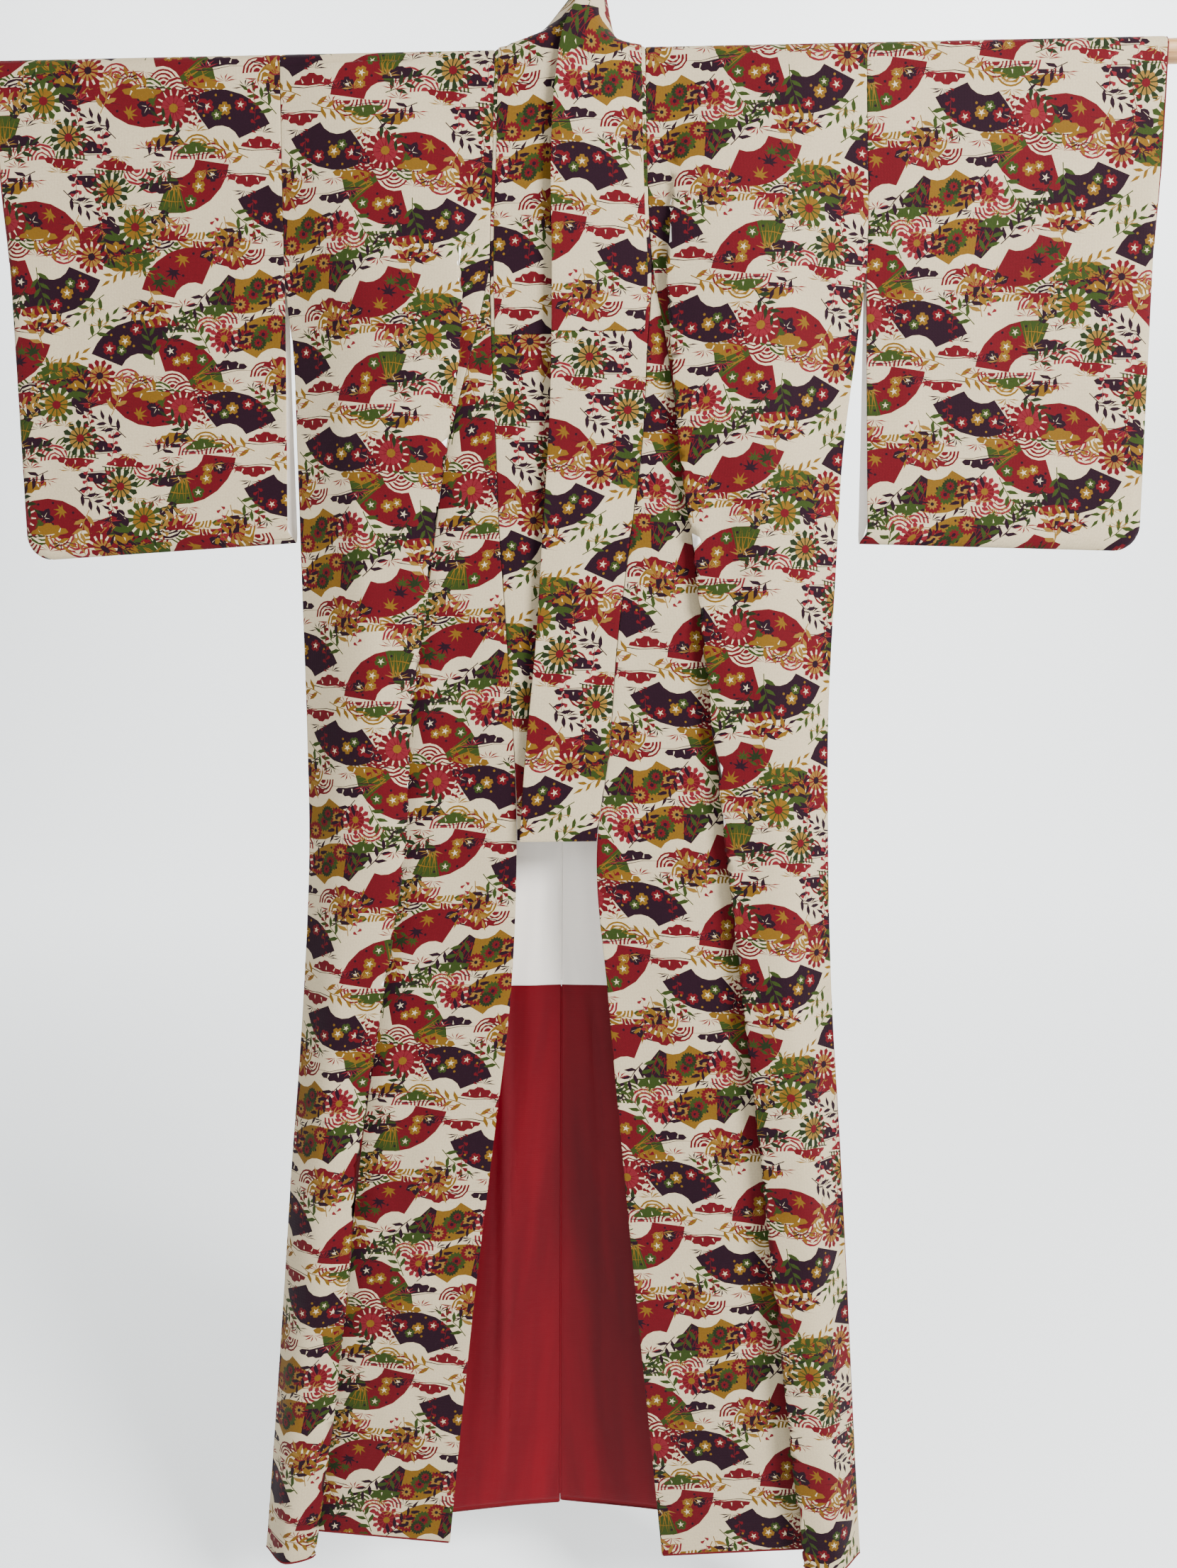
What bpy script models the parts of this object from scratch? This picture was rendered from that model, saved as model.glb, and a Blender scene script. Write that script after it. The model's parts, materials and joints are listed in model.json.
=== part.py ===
"""A lined kimono hung flat on a rod hanger with a wire hook.

Metres, +Z up. The garment faces -Y, and left and right are the wearer's, so left lies at +X.
The origin is the bearing point inside the hook's arc. Tables are in millimetres: a depth is
measured down from the shoulder line, a distance "out" is measured from the plane x = 0 towards
the side it belongs to, and y is negative towards the viewer.
"""

from collections import namedtuple
from math import cos, pi, radians, sin, sqrt

import bmesh
import bpy
import numpy as np

MM = 0.001

# Cloth walls and the air between pieces
WALL = 1.6
LINING_WALL = 1.0
SEAM_GAP = 0.3
LAYER_LIFT = WALL / 2 + SEAM_GAP + LINING_WALL / 2

# Hanger
ROD_RADIUS = 12.0
ROD_LENGTH = 1330.0
ROD_SIDES = 12
WIRE_RADIUS = 2.5
HOOK_X = 15.0
HOOK_ARC = 22.5
HOOK_ABOVE_ROD = 172.0
STEM_SOCKET = 9.0
SOCKET_PLAY = 0.3

# Shoulder line: the middle of the cloth wall where it lies over the rod
SHOULDER_RADIUS = ROD_RADIUS + SEAM_GAP + WALL / 2
ROD_Z = -HOOK_ABOVE_ROD
SHOULDER_Z = ROD_Z + SHOULDER_RADIUS
SHOULDER_STEPS = 3

# Lengths down from the shoulder line
HEM = 1690.0
SLEEVE_SEWN = 235.0
SIDE_OPEN = 300.0
NECK_BACK = 22.0
NECK_BACK_CENTRE = 25.0
OVERLAP_TOP = 235.0
COLLAR_FROM = 60.0
COLLAR_END = 853.0
OVER_COLLAR_END = 300.0
OVER_COLLAR_INSET = 0.08
LINING_SKIP = 3
LINING_TOP = 60.0
LINING_JOIN = 1034.0
LINING_HEM = 1684.0
STRETCH_FROM = 1000.0
BLEND_DEPTH = 120.0

# Sleeves
SLEEVE_CORNER = 28.0
SLEEVE_ROUND = 14.0
SLEEVE_OUT = 627.0
SLEEVE_OUT_LOW = 621.0

# The cut of one body length: seam side, hidden turn, fold, outer edge, and where each lies in y
Body = namedtuple("Body", "depth seam turn fold edge flat_y crest_y side_y back_y")

RIGHT_BODY = [
    Body(0, 83, 118, 150, 314, -13.1, -13.1, -3, 13.1),
    Body(60, 85, 118, 142, 315, -13.4, -13.8, -3, 12.8),
    Body(120, 87, 119, 133, 316, -14.2, -16, -3, 12.4),
    Body(180, 90, 118, 130, 317, -15, -22, -3, 12),
    Body(235, 93, 130, 121, 317, -16, -29, -3, 11.6),
    Body(268, 100, 140, 119, 315, -16.7, -32, -3.4, 11.3),
    Body(300, 108, 150, 121, 312, -17.5, -34, -4, 11),
    Body(420, 140, 172, 137, 309, -20, -38, -8, 10.4),
    Body(560, 162, 200, 158, 307, -23.5, -42, -12, 9.8),
    Body(720, 186, 228, 181, 305, -27, -48, -16, 9.2),
    Body(853, 196, 244, 190, 305, -30, -52, -20, 8.6),
    Body(1034, 224, 270, 219, 316, -33, -57, -24, 8),
    Body(1200, 250, 292, 245, 331, -36, -61, -28, 6.5),
    Body(1380, 273, 314, 267, 347, -39, -65, -31, 5),
    Body(1540, 294, 334, 288, 362, -41, -68, -34, 3.5),
    Body(1690, 316, 354, 311, 377, -43, -71, -36, 2),
]

LEFT_BODY = [
    Body(0, 78, 108, 136, 312, -13.1, -13.1, -4, 13.1),
    Body(60, 78.5, 106, 124, 313, -13.6, -14.4, -4, 12.8),
    Body(120, 79.5, 106, 112, 315, -15, -19, -4, 12.4),
    Body(180, 81.5, 108, 104, 317, -16.5, -27, -4, 12),
    Body(235, 86, 121, 99, 316, -18.5, -32, -4, 11.6),
    Body(300, 98, 134, 103, 309, -21, -35, -6, 11),
    Body(420, 115, 150, 112, 294, -25, -41, -11, 10.4),
    Body(560, 133, 176, 130, 286, -29.5, -46, -16, 9.8),
    Body(720, 151, 200, 147, 279, -34, -53, -21, 9.2),
    Body(853, 165, 219, 162, 280, -38, -57, -24, 8.6),
    Body(1034, 186, 240, 183, 286, -40, -61, -27, 8),
    Body(1200, 206, 258, 202, 297, -42, -64, -30, 6.5),
    Body(1380, 226, 275, 221, 308, -44, -68, -32, 5),
    Body(1540, 242, 288, 238, 317, -45, -71, -34, 3.5),
    Body(1690, 260, 302, 256, 326, -46, -73, -36, 2),
]

# The centre back seam leans to the wearer's right and sinks back towards the hem
Centre = namedtuple("Centre", "depth x y")

CENTRE_SEAM = [
    Centre(0, -2.5, 13.1),
    Centre(300, -8, 16),
    Centre(600, -15, 22),
    Centre(853, -20, 27),
    Centre(1300, -26, 37),
    Centre(1690, -31, 46),
]

# The front line of each side: collar seam down to the collar's end, then the free front edge
Front = namedtuple("Front", "depth out")

RIGHT_FRONT = [
    Front(0, 83),
    Front(60, 85),
    Front(120, 87),
    Front(180, 90),
    Front(235, 91),
    Front(300, 90.5),
    Front(390, 87.5),
    Front(500, 84.5),
    Front(620, 77.5),
    Front(853, 68),
    Front(1034, 77),
    Front(1200, 98),
    Front(1400, 124),
    Front(1540, 140),
    Front(1690, 156),
]

LEFT_FRONT = [
    Front(0, 78),
    Front(60, 78.5),
    Front(120, 79.5),
    Front(180, 81.5),
    Front(235, 84),
    Front(320, 79),
    Front(423, 73),
    Front(521, 60),
    Front(634, 45.5),
    Front(760, 35),
    Front(853, 22),
    Front(1034, 33.5),
    Front(1217, 49),
    Front(1415, 67),
    Front(1540, 79),
    Front(1690, 93),
]

# Sleeves: how far each leaf's inner edge swings out below the seam, and half the gap between them
Sleeve = namedtuple("Sleeve", "depth front_out back_out half")

SLEEVE_ROWS = [
    Sleeve(0, 0, 0, 13.1),
    Sleeve(60, 0, 0, 12.3),
    Sleeve(120, 0, 0, 10.8),
    Sleeve(235, 0, 0, 8.4),
    Sleeve(380, 2.5, -0.5, 7.2),
    Sleeve(536, 6.0, -2.0, 6.4),
]

# Free edge of the collar down each front, and where it lies in y
CollarFront = namedtuple("CollarFront", "depth edge_x edge_y")

RIGHT_COLLAR = [
    CollarFront(60, 17, -15.2),
    CollarFront(120, 16, -15.4),
    CollarFront(235, 14, -15.8),
    CollarFront(390, 16, -18.5),
    CollarFront(521, 16, -21.5),
    CollarFront(634, 18, -24.0),
    CollarFront(760, 19, -27.0),
    CollarFront(853, 20, -29.0),
]

LEFT_COLLAR = [
    CollarFront(60, -20, -27.5),
    CollarFront(120, -23, -28.0),
    CollarFront(235, -23, -29.5),
    CollarFront(390, -27, -32.5),
    CollarFront(521, -36, -35.5),
    CollarFront(634, -44, -38.0),
    CollarFront(760, -57, -40.5),
    CollarFront(853, -64, -42.0),
]


def on_shoulder(x, angle):
    """A point of the neck seam where it lies over the rod, so many degrees towards the back."""
    radius = SHOULDER_RADIUS + SEAM_GAP / 2
    turn = radians(angle)
    return (x, radius * sin(turn), radius * cos(turn) - SHOULDER_RADIUS)


# The collar round the neck, from the right front to the left: its seam, middle and free edge.
# Heights are above the shoulder line, and the free edge is drawn up to a peak beside the hook.
Neck = namedtuple("Neck", "seam middle edge")

NECK_ROWS = [
    Neck((-83.1, -13.1, -22), (-33, -15.6, -14), (17.5, -15.1, -6)),
    Neck(on_shoulder(-82.7, -90), (-34, -15.6, -5), (17, -15.0, 4)),
    Neck(on_shoulder(-82.7, -60), (-36, -14.4, 3), (16, -14.5, 11)),
    Neck(on_shoulder(-82.7, -30), (-39, -11.8, 8), (13.5, -13.5, 18)),
    Neck(on_shoulder(-82.6, 0), (-41, -8, 11), (11, -12.0, 25)),
    Neck(on_shoulder(-82.5, 30), (-43, -3, 13), (8.5, -9.5, 33)),
    Neck(on_shoulder(-82.2, 60), (-44.5, 4, 13.5), (6, -6, 41)),
    Neck(on_shoulder(-81.6, 90), (-45.5, 10.5, 13), (3.5, -1, 49)),
    Neck((-75, 14.4, -20), (-43, 14.6, 14), (3, 6, 58)),
    Neck((-46, 14.4, -22.6), (-26, 16, 25), (9, 12, 71)),
    Neck((-2.5, 14.4, -23.8), (7, 17, 32), (20, 14.5, 82)),
    Neck((41, 14.4, -22.6), (38, 16.5, 20), (29, 11, 80)),
    Neck((70, 14.4, -20), (47.5, 14.6, 9), (29.5, 3, 72)),
    Neck(on_shoulder(76.6, 90), (49, 12.2, 9.5), (25, -5, 65)),
    Neck(on_shoulder(77.2, 60), (48.5, 6, 10), (16.5, -12, 59)),
    Neck(on_shoulder(77.5, 30), (47, -3, 8), (10, -17, 49)),
    Neck(on_shoulder(77.6, 0), (44, -9, 7), (3, -20.5, 38)),
    Neck(on_shoulder(77.7, -30), (41, -14.5, 3), (-3, -23, 26)),
    Neck(on_shoulder(77.7, -60), (37, -19, -3), (-8, -25, 14)),
    Neck(on_shoulder(77.7, -90), (34, -21.3, -10), (-11.5, -26, 2)),
    Neck((77.8, -13.1, -22), (33, -21.8, -20), (-14, -26.6, -14)),
]

# Depths of the mesh rows, and steps along each stretch of a body section
BODY_DEPTHS = [22, 60, 120, 180, 235, 268, 300, 420, 560, 720, 853, 1034, 1200, 1380, 1540, 1690]
FRONT_STEPS = (1, 2, 2, 2, 3, 3)
BACK_STEPS = (4, 4, 5)
NECK_STEPS = 3
SLEEVE_STEPS = 7
COLLAR_STEPS = 4
OVERLAP_STEPS = 3

CREAM = (0.76, 0.70, 0.55)
WHITE = (0.70, 0.70, 0.72)
RED = (0.27, 0.010, 0.014)
WOOD = (0.55, 0.34, 0.16)
STEEL = (0.62, 0.62, 0.60)


def clear_scene():
    for item in list(bpy.data.objects):
        bpy.data.objects.remove(item, do_unlink=True)


def finish(name, colour, roughness, metallic=0.0):
    material = bpy.data.materials.new(name)
    material.use_nodes = True
    shader = material.node_tree.nodes["Principled BSDF"]
    shader.inputs["Base Color"].default_value = (*colour, 1.0)
    shader.inputs["Roughness"].default_value = roughness
    shader.inputs["Metallic"].default_value = metallic
    return material


def ease(t):
    """Smooth step from 0 to 1."""
    t = min(max(t, 0.0), 1.0)
    return t * t * (3 - 2 * t)


def through_rows(places, values, at):
    """A cubic through the rows of a table, each row's slope taken from the rows beside it."""
    places = np.array(places, float)
    values = np.array(values, float)
    slopes = np.gradient(values, places, axis=0)
    k = int(np.clip(np.searchsorted(places, at) - 1, 0, len(places) - 2))
    span = places[k + 1] - places[k]
    t = min(max((at - places[k]) / span, 0.0), 1.0)
    start = values[k] * (1 + 2 * t) * (1 - t) ** 2 + slopes[k] * span * t * (1 - t) ** 2
    end = values[k + 1] * t * t * (3 - 2 * t) + slopes[k + 1] * span * t * t * (t - 1)
    return start + end


def row_at(table, depth):
    """The table's row at a depth, with its columns' names."""
    values = through_rows([row.depth for row in table], [row[1:] for row in table], depth)
    return type(table[0])(depth, *values)


def curve_through(points, steps):
    """Points on a smooth curve through the given ones, with so many steps to each stretch."""
    points = np.array(points, float)
    chord = np.sqrt(np.linalg.norm(np.diff(points, axis=0), axis=1))
    along = np.concatenate([[0.0], np.cumsum(np.maximum(chord, 1e-6))])
    made = []
    for k, count in enumerate(steps):
        for step in range(count):
            at = along[k] + (along[k + 1] - along[k]) * step / count
            made.append(through_rows(along, points, at))
    made.append(points[-1])
    return np.array(made)


def hem_drop(depth, hem):
    """Depth after a panel's lower part is let down or drawn up to its own hem."""
    return depth + (hem - HEM) * ease((depth - STRETCH_FROM) / (HEM - STRETCH_FROM))


def place(x, y, depth):
    return (x * MM, y * MM, SHOULDER_Z * MM - depth * MM)


def over_shoulder(step, steps):
    """How far forward and below the shoulder line the wall lies on the rod, in quarter turns."""
    angle = pi / 2 * step / steps
    return SHOULDER_RADIUS * sin(angle), SHOULDER_RADIUS * (1 - cos(angle))


def front_section(row):
    """Control points of a front leaf across: flat at its seam, turned back under, rolled out."""
    lift = row.crest_y - row.flat_y
    return [
        (row.seam, row.flat_y),
        ((row.seam + row.turn) / 2, row.flat_y + 0.10 * lift),
        (row.turn, row.flat_y + 0.30 * lift),
        ((row.turn + row.fold) / 2, row.flat_y + 0.50 * lift),
        (row.fold, row.flat_y + 0.76 * lift),
        (row.fold * 0.5 + row.edge * 0.5, row.crest_y),
        (row.edge, row.side_y),
    ]


def back_section(row, neck, centre_out, centre_y):
    """Control points of a back leaf across, from the outer edge to the neck and the centre."""
    side = row.edge - 0.22 * (row.edge - neck)
    half = row.edge - 0.60 * (row.edge - neck)
    lean = (centre_y - row.back_y) / (row.edge - centre_out)
    return [
        (row.edge, row.side_y),
        (side, row.back_y),
        (half, row.back_y + lean * (row.edge - half) * 0.75),
        (neck, row.back_y + lean * (row.edge - neck)),
        (centre_out, centre_y),
    ]


class BodySide:
    """One body length of the kimono: front leaf, shoulder, and back leaf to the centre seam."""

    def __init__(self, side, body, front, front_hem, seam_hem, back_hem):
        self.side = side
        self.body = body
        self.front = front
        self.front_hem = front_hem
        self.seam_hem = seam_hem
        self.back_hem = back_hem

    def neck(self):
        return self.body[0].seam

    def across(self, depth):
        """Points of both leaves at a depth, as (out, y), the front from seam to edge."""
        row = row_at(self.body, depth)
        centre = row_at(CENTRE_SEAM, depth)
        centre_out = self.side * centre.x + SEAM_GAP / 2
        front = curve_through(front_section(row), FRONT_STEPS)
        back_points = back_section(row, self.neck(), centre_out, centre.y)
        back = curve_through(back_points, (*BACK_STEPS, NECK_STEPS))
        return self.open_side(front, back, depth)

    def open_side(self, front, back, depth):
        """Parts the leaves above the side seam's top, and lays them level at the shoulder."""
        half = row_at(SLEEVE_ROWS, depth).half
        spread = sqrt(min(max((SIDE_OPEN - depth) / (SIDE_OPEN - SLEEVE_SEWN), 0.0), 1.0))
        count = len(front) - 1
        level = 1 - ease(depth / BLEND_DEPTH)
        edge, edge_y = front[-1]
        for i in range(count + 1):
            share = i / count
            even = front[0][0] + (edge - front[0][0]) * share
            front[i][0] += (even - front[i][0]) * level
            front[i][1] += (-half - edge_y) * ease(share) * spread
            even = edge + (self.neck() - edge) * share
            back[i][0] += (even - back[i][0]) * level
            back[i][1] += (half - back[i][1]) * ease(1 - share) ** 2 * spread
        return front, back

    def leaf_rows(self):
        """Both leaves' points in space, row by row from the shoulder line to the hem."""
        front_rows = []
        back_rows = []
        front, back = self.across(0)
        for step in range(SHOULDER_STEPS + 1):
            forward, down = over_shoulder(step, SHOULDER_STEPS)
            front_rows.append([place(self.side * p[0], -forward, down) for p in front])
            back_rows.append([place(self.side * p[0], forward, down) for p in back])
        for depth in BODY_DEPTHS:
            front, back = self.across(depth)
            front_rows.append([self.front_place(p, i, depth) for i, p in enumerate(front)])
            back_rows.append([self.back_place(p, i, depth) for i, p in enumerate(back)])
        return front_rows, back_rows

    def front_place(self, point, i, depth):
        share = i / sum(FRONT_STEPS)
        hem = self.seam_hem + (self.back_hem - self.seam_hem) * share
        return place(self.side * point[0], point[1], hem_drop(depth, hem))

    def back_place(self, point, i, depth):
        inside = max(i - sum(BACK_STEPS), 0) / NECK_STEPS
        low = (NECK_BACK_CENTRE - NECK_BACK) * inside if depth == NECK_BACK else 0.0
        return place(self.side * point[0], point[1], hem_drop(depth, self.back_hem) + low)

    def overlap_rows(self):
        """The overlap panel's points, from its seam with the body to the front line."""
        rows = []
        for depth in [depth for depth in BODY_DEPTHS if depth >= OVERLAP_TOP]:
            row = row_at(self.body, depth)
            outer = row.seam - SEAM_GAP
            inner = row_at(self.front, depth).out + SEAM_GAP
            points = []
            for i in range(OVERLAP_STEPS + 1):
                share = i / OVERLAP_STEPS
                hem = self.seam_hem + (self.front_hem - self.seam_hem) * share
                out = outer + (inner - outer) * share
                points.append(place(self.side * out, row.flat_y, hem_drop(depth, hem)))
            rows.append(points)
        return rows

    def lining_rows(self, top, low):
        """Points on the back leaf's inner face, moved in, between two depths."""
        between = [depth for depth in BODY_DEPTHS if top < depth < low]
        rows = []
        for depth in [top, *between, low]:
            back = self.across(depth)[1][LINING_SKIP:]
            drop = hem_drop(depth, self.back_hem)
            back[-1][0] += SEAM_GAP
            rows.append([place(self.side * p[0], p[1], drop) for p in back])
        return rows


def sheet(name, grids, thickness, material, drop=(), lift=0.0):
    """A cloth piece from rows of points, joined where they meet, and given its thickness.

    One grid can be lifted along its normals, to lie on the panel whose points it is made from.
    """
    made = bmesh.new()
    for number, rows in enumerate(grids):
        verts = [[made.verts.new(point) for point in row] for row in rows]
        for j in range(len(rows) - 1):
            for i in range(len(rows[0]) - 1):
                if (number, j, i) in drop:
                    continue
                made.faces.new((verts[j][i], verts[j][i + 1], verts[j + 1][i + 1]))
                made.faces.new((verts[j][i], verts[j + 1][i + 1], verts[j + 1][i]))
    bmesh.ops.remove_doubles(made, verts=made.verts, dist=0.00002)
    loose = [vert for vert in made.verts if not vert.link_faces]
    bmesh.ops.delete(made, geom=loose, context="VERTS")
    if len(grids) > 1:
        bmesh.ops.recalc_face_normals(made, faces=made.faces)
    mesh = bpy.data.meshes.new(name)
    made.to_mesh(mesh)
    made.free()
    mesh.shade_smooth()
    mesh.materials.append(material)
    piece = bpy.data.objects.new(name, mesh)
    bpy.context.collection.objects.link(piece)
    shell = piece.modifiers.new("Wall", "SOLIDIFY")
    shell.thickness = thickness * MM
    shell.offset = 2 * lift / thickness
    shell.use_quality_normals = True
    return piece


def make_body(name, half, material):
    front_rows, back_rows = half.leaf_rows()
    neck_column = sum(BACK_STEPS)
    above_neck = {
        (1, j, i)
        for j in range(SHOULDER_STEPS + 1)
        for i in range(neck_column, neck_column + NECK_STEPS)
    }
    return sheet(name, [front_rows, back_rows], WALL, material, above_neck)


def sleeve_depths(low):
    """Row depths of a sleeve, close together round its lower corner."""
    corner = low - SLEEVE_CORNER
    upper = [depth for depth in BODY_DEPTHS if depth <= SLEEVE_SEWN] + [300, 380, 450, corner]
    return upper + [corner + SLEEVE_CORNER * sin(radians(angle)) for angle in (30, 55, 75, 90)]


def make_sleeve(name, half, inner_low, outer_low, material):
    """A bag of two leaves, open at the wrist and along the side next to the body."""
    side = half.side
    grids = []
    for leaf in (-1, 1):
        rows = []
        for step in range(SHOULDER_STEPS + 1):
            forward, down = over_shoulder(step, SHOULDER_STEPS)
            outs = sleeve_outs(half.body[0].edge + SEAM_GAP, SLEEVE_OUT)
            rows.append([place(side * out, leaf * forward, down) for out in outs])
        for depth in sleeve_depths(outer_low):
            rows.append(sleeve_row(half, leaf, depth, inner_low, outer_low))
        grids.append(rows)
    return sheet(name, grids, WALL, material)


def sleeve_outs(inner, outer):
    """Places across a sleeve, close together where it rounds over at the outer edge."""
    near_edge = (outer, outer - 2.5, outer - 7.0, outer - SLEEVE_ROUND)
    wide = np.linspace(inner, near_edge[-1], SLEEVE_STEPS - 2)
    return [*wide, *reversed(near_edge[:3])]


def sleeve_row(half, leaf, depth, inner_low, outer_low):
    row = row_at(SLEEVE_ROWS, depth)
    seam = row_at(half.body, min(depth, SLEEVE_SEWN)).edge + SEAM_GAP
    past = max(depth - (outer_low - SLEEVE_CORNER), 0.0)
    cut_in = SLEEVE_CORNER - sqrt(max(SLEEVE_CORNER ** 2 - past ** 2, 0.0))
    outer = SLEEVE_OUT + (SLEEVE_OUT_LOW - SLEEVE_OUT) * depth / outer_low - cut_in
    swing = row.front_out if leaf < 0 else row.back_out
    swing += (row.back_out - swing) * ease(1 - (outer_low - depth) / SLEEVE_ROUND)
    inner = seam + swing
    closed = ease(2 * depth / SLEEVE_SEWN - 1)
    bottom = rounded((outer_low - depth) / SLEEVE_ROUND)
    points = []
    for out in sleeve_outs(inner, outer):
        edge = rounded((outer - out) / SLEEVE_ROUND)
        part = row.half * (1 - closed * (1 - edge)) * bottom
        share = (out - inner) / (outer - inner)
        low = inner_low + (outer_low - inner_low) * share
        drop = depth + (low - outer_low) * ease((depth - SLEEVE_SEWN) / (outer_low - SLEEVE_SEWN))
        points.append(place(half.side * out, leaf * part, drop))
    return points


def rounded(share):
    """Height of a quarter round at a share of its width, from 0 at the edge to 1."""
    share = min(max(share, 0.0), 1.0)
    return sqrt(1 - (1 - share) ** 2)


def collar_stations(halves, end):
    """Seam, middle and free edge of the collar, station by station round the neck."""
    right, left = halves
    depths = [depth for depth in BODY_DEPTHS if COLLAR_FROM <= depth < end] + [end]
    rows = [front_station(right, RIGHT_COLLAR, depth) for depth in reversed(depths)]
    rows += [tuple(np.array(point, float) for point in row) for row in NECK_ROWS]
    rows += [front_station(left, LEFT_COLLAR, depth) for depth in depths]
    return rows


def front_station(half, table, depth):
    row = row_at(half.body, depth)
    free = row_at(table, depth)
    seam_x = half.side * (row_at(half.front, depth).out - SEAM_GAP)
    seam = np.array([seam_x, row.flat_y, -depth])
    edge = np.array([free.edge_x, free.edge_y, -depth])
    middle = (seam + edge) / 2
    middle[1] += 0.12 * (edge[1] - seam[1])
    return seam, middle, edge


def collar_rows(stations):
    """Points across the band at each station."""
    rows = []
    for station in stations:
        across = curve_through(station, (COLLAR_STEPS // 2, COLLAR_STEPS // 2))
        rows.append([place(p[0], p[1], -p[2]) for p in across])
    return rows


def make_collar(halves, cloth):
    sheet("collar", [collar_rows(collar_stations(halves, COLLAR_END))], WALL, cloth)
    over = np.array(collar_rows(collar_stations(halves, OVER_COLLAR_END)))
    over[:, 0] += (over[:, 1] - over[:, 0]) * OVER_COLLAR_INSET
    sheet("over_collar", [over.tolist()], LINING_WALL, cloth, lift=LAYER_LIFT)


def make_rod(material):
    bpy.ops.mesh.primitive_cylinder_add(
        vertices=ROD_SIDES, radius=ROD_RADIUS * MM, depth=ROD_LENGTH * MM,
        location=(0, 0, ROD_Z * MM), rotation=(0, pi / 2, 0),
    )
    rod = bpy.context.object
    rod.name = "hanger_rod"
    rod.data.materials.append(material)
    bpy.ops.mesh.primitive_cylinder_add(
        vertices=12, radius=(WIRE_RADIUS + SOCKET_PLAY) * MM, depth=2 * STEM_SOCKET * MM,
        location=(HOOK_X * MM, 0, (ROD_Z + ROD_RADIUS) * MM),
    )
    drill = bpy.context.object
    drill.name = "socket_drill"
    drill.display_type = "WIRE"
    drill.hide_render = True
    socket = rod.modifiers.new("Socket", "BOOLEAN")
    socket.operation = "DIFFERENCE"
    socket.object = drill
    return rod


def make_hook(material):
    """A bent wire: straight stem, a sweep to one side, and an arc over the bearing point."""
    centre_z = -HOOK_ARC + WIRE_RADIUS
    foot = ROD_Z + ROD_RADIUS - STEM_SOCKET + SEAM_GAP
    route = [(HOOK_X, foot), (HOOK_X, -140.0), (HOOK_X, -110.0), (HOOK_X, -82.0)]
    route += [(HOOK_X - 4.0, -66.0), (HOOK_X - 16.0, -48.0), (-HOOK_ARC + HOOK_X * 0.2, -34.0)]
    for angle in range(180, -60, -20):
        turn = radians(angle)
        route.append((HOOK_ARC * cos(turn), centre_z + HOOK_ARC * sin(turn)))
    smooth = curve_through(route, [2] * (len(route) - 1))
    curve = bpy.data.curves.new("hanger_hook", "CURVE")
    curve.dimensions = "3D"
    curve.bevel_depth = WIRE_RADIUS * MM
    curve.bevel_resolution = 2
    curve.use_fill_caps = True
    line = curve.splines.new("POLY")
    line.points.add(len(smooth) - 1)
    for point, (x, z) in zip(line.points, smooth):
        point.co = (x * MM, 0, z * MM, 1)
    curve.materials.append(material)
    hook = bpy.data.objects.new("hanger_hook", curve)
    bpy.context.collection.objects.link(hook)
    return hook


def main():
    clear_scene()
    cloth = finish("printed crepe", CREAM, 0.85)
    upper_lining = finish("white lining", WHITE, 0.7)
    lower_lining = finish("red lining", RED, 0.5)
    right = BodySide(-1, RIGHT_BODY, RIGHT_FRONT, 1687, 1674, 1700)
    left = BodySide(1, LEFT_BODY, LEFT_FRONT, 1697, 1686, 1697)
    make_rod(finish("turned wood", WOOD, 0.55))
    make_hook(finish("steel wire", STEEL, 0.3, 1.0))
    make_sleeve("sleeve_right", right, 519, 535, cloth)
    make_sleeve("sleeve_left", left, 526, 536, cloth)
    for label, half in (("right", right), ("left", left)):
        make_body("body_" + label, half, cloth)
        sheet("overlap_" + label, [half.overlap_rows()], WALL, cloth)
        upper = half.lining_rows(LINING_TOP, LINING_JOIN - SEAM_GAP)
        lift = half.side * LAYER_LIFT
        sheet("upper_lining_" + label, [upper], LINING_WALL, upper_lining, lift=lift)
        lower = half.lining_rows(LINING_JOIN, LINING_HEM)
        sheet("lower_lining_" + label, [lower], LINING_WALL, lower_lining, lift=lift)
    make_collar((right, left), cloth)


main()
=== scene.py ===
"""Looks of a lined small-pattern kimono that hangs open on a wooden rod.

The printed crepe, the silk linings, the rod and the hook are built over the CAD frame, each cloth as
a thin shell on its own solid's form. Tables are in millimetres: a depth is measured down from the
shoulder line, "out" from the plane x = 0 towards the piece's own side, and y is negative towards the
viewer. Left and right are the wearer's, so left lies at +X.
"""

import json
import logging
from dataclasses import dataclass, field
from enum import Enum
from math import cos, pi, radians, sin, sqrt
from typing import Callable, NamedTuple, Optional, Sequence

import bpy
import numpy as np
from bpy.types import ID, Material, Node, NodeTree, Object
from mathutils import Matrix, Vector
from mathutils.geometry import delaunay_2d_cdt

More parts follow.
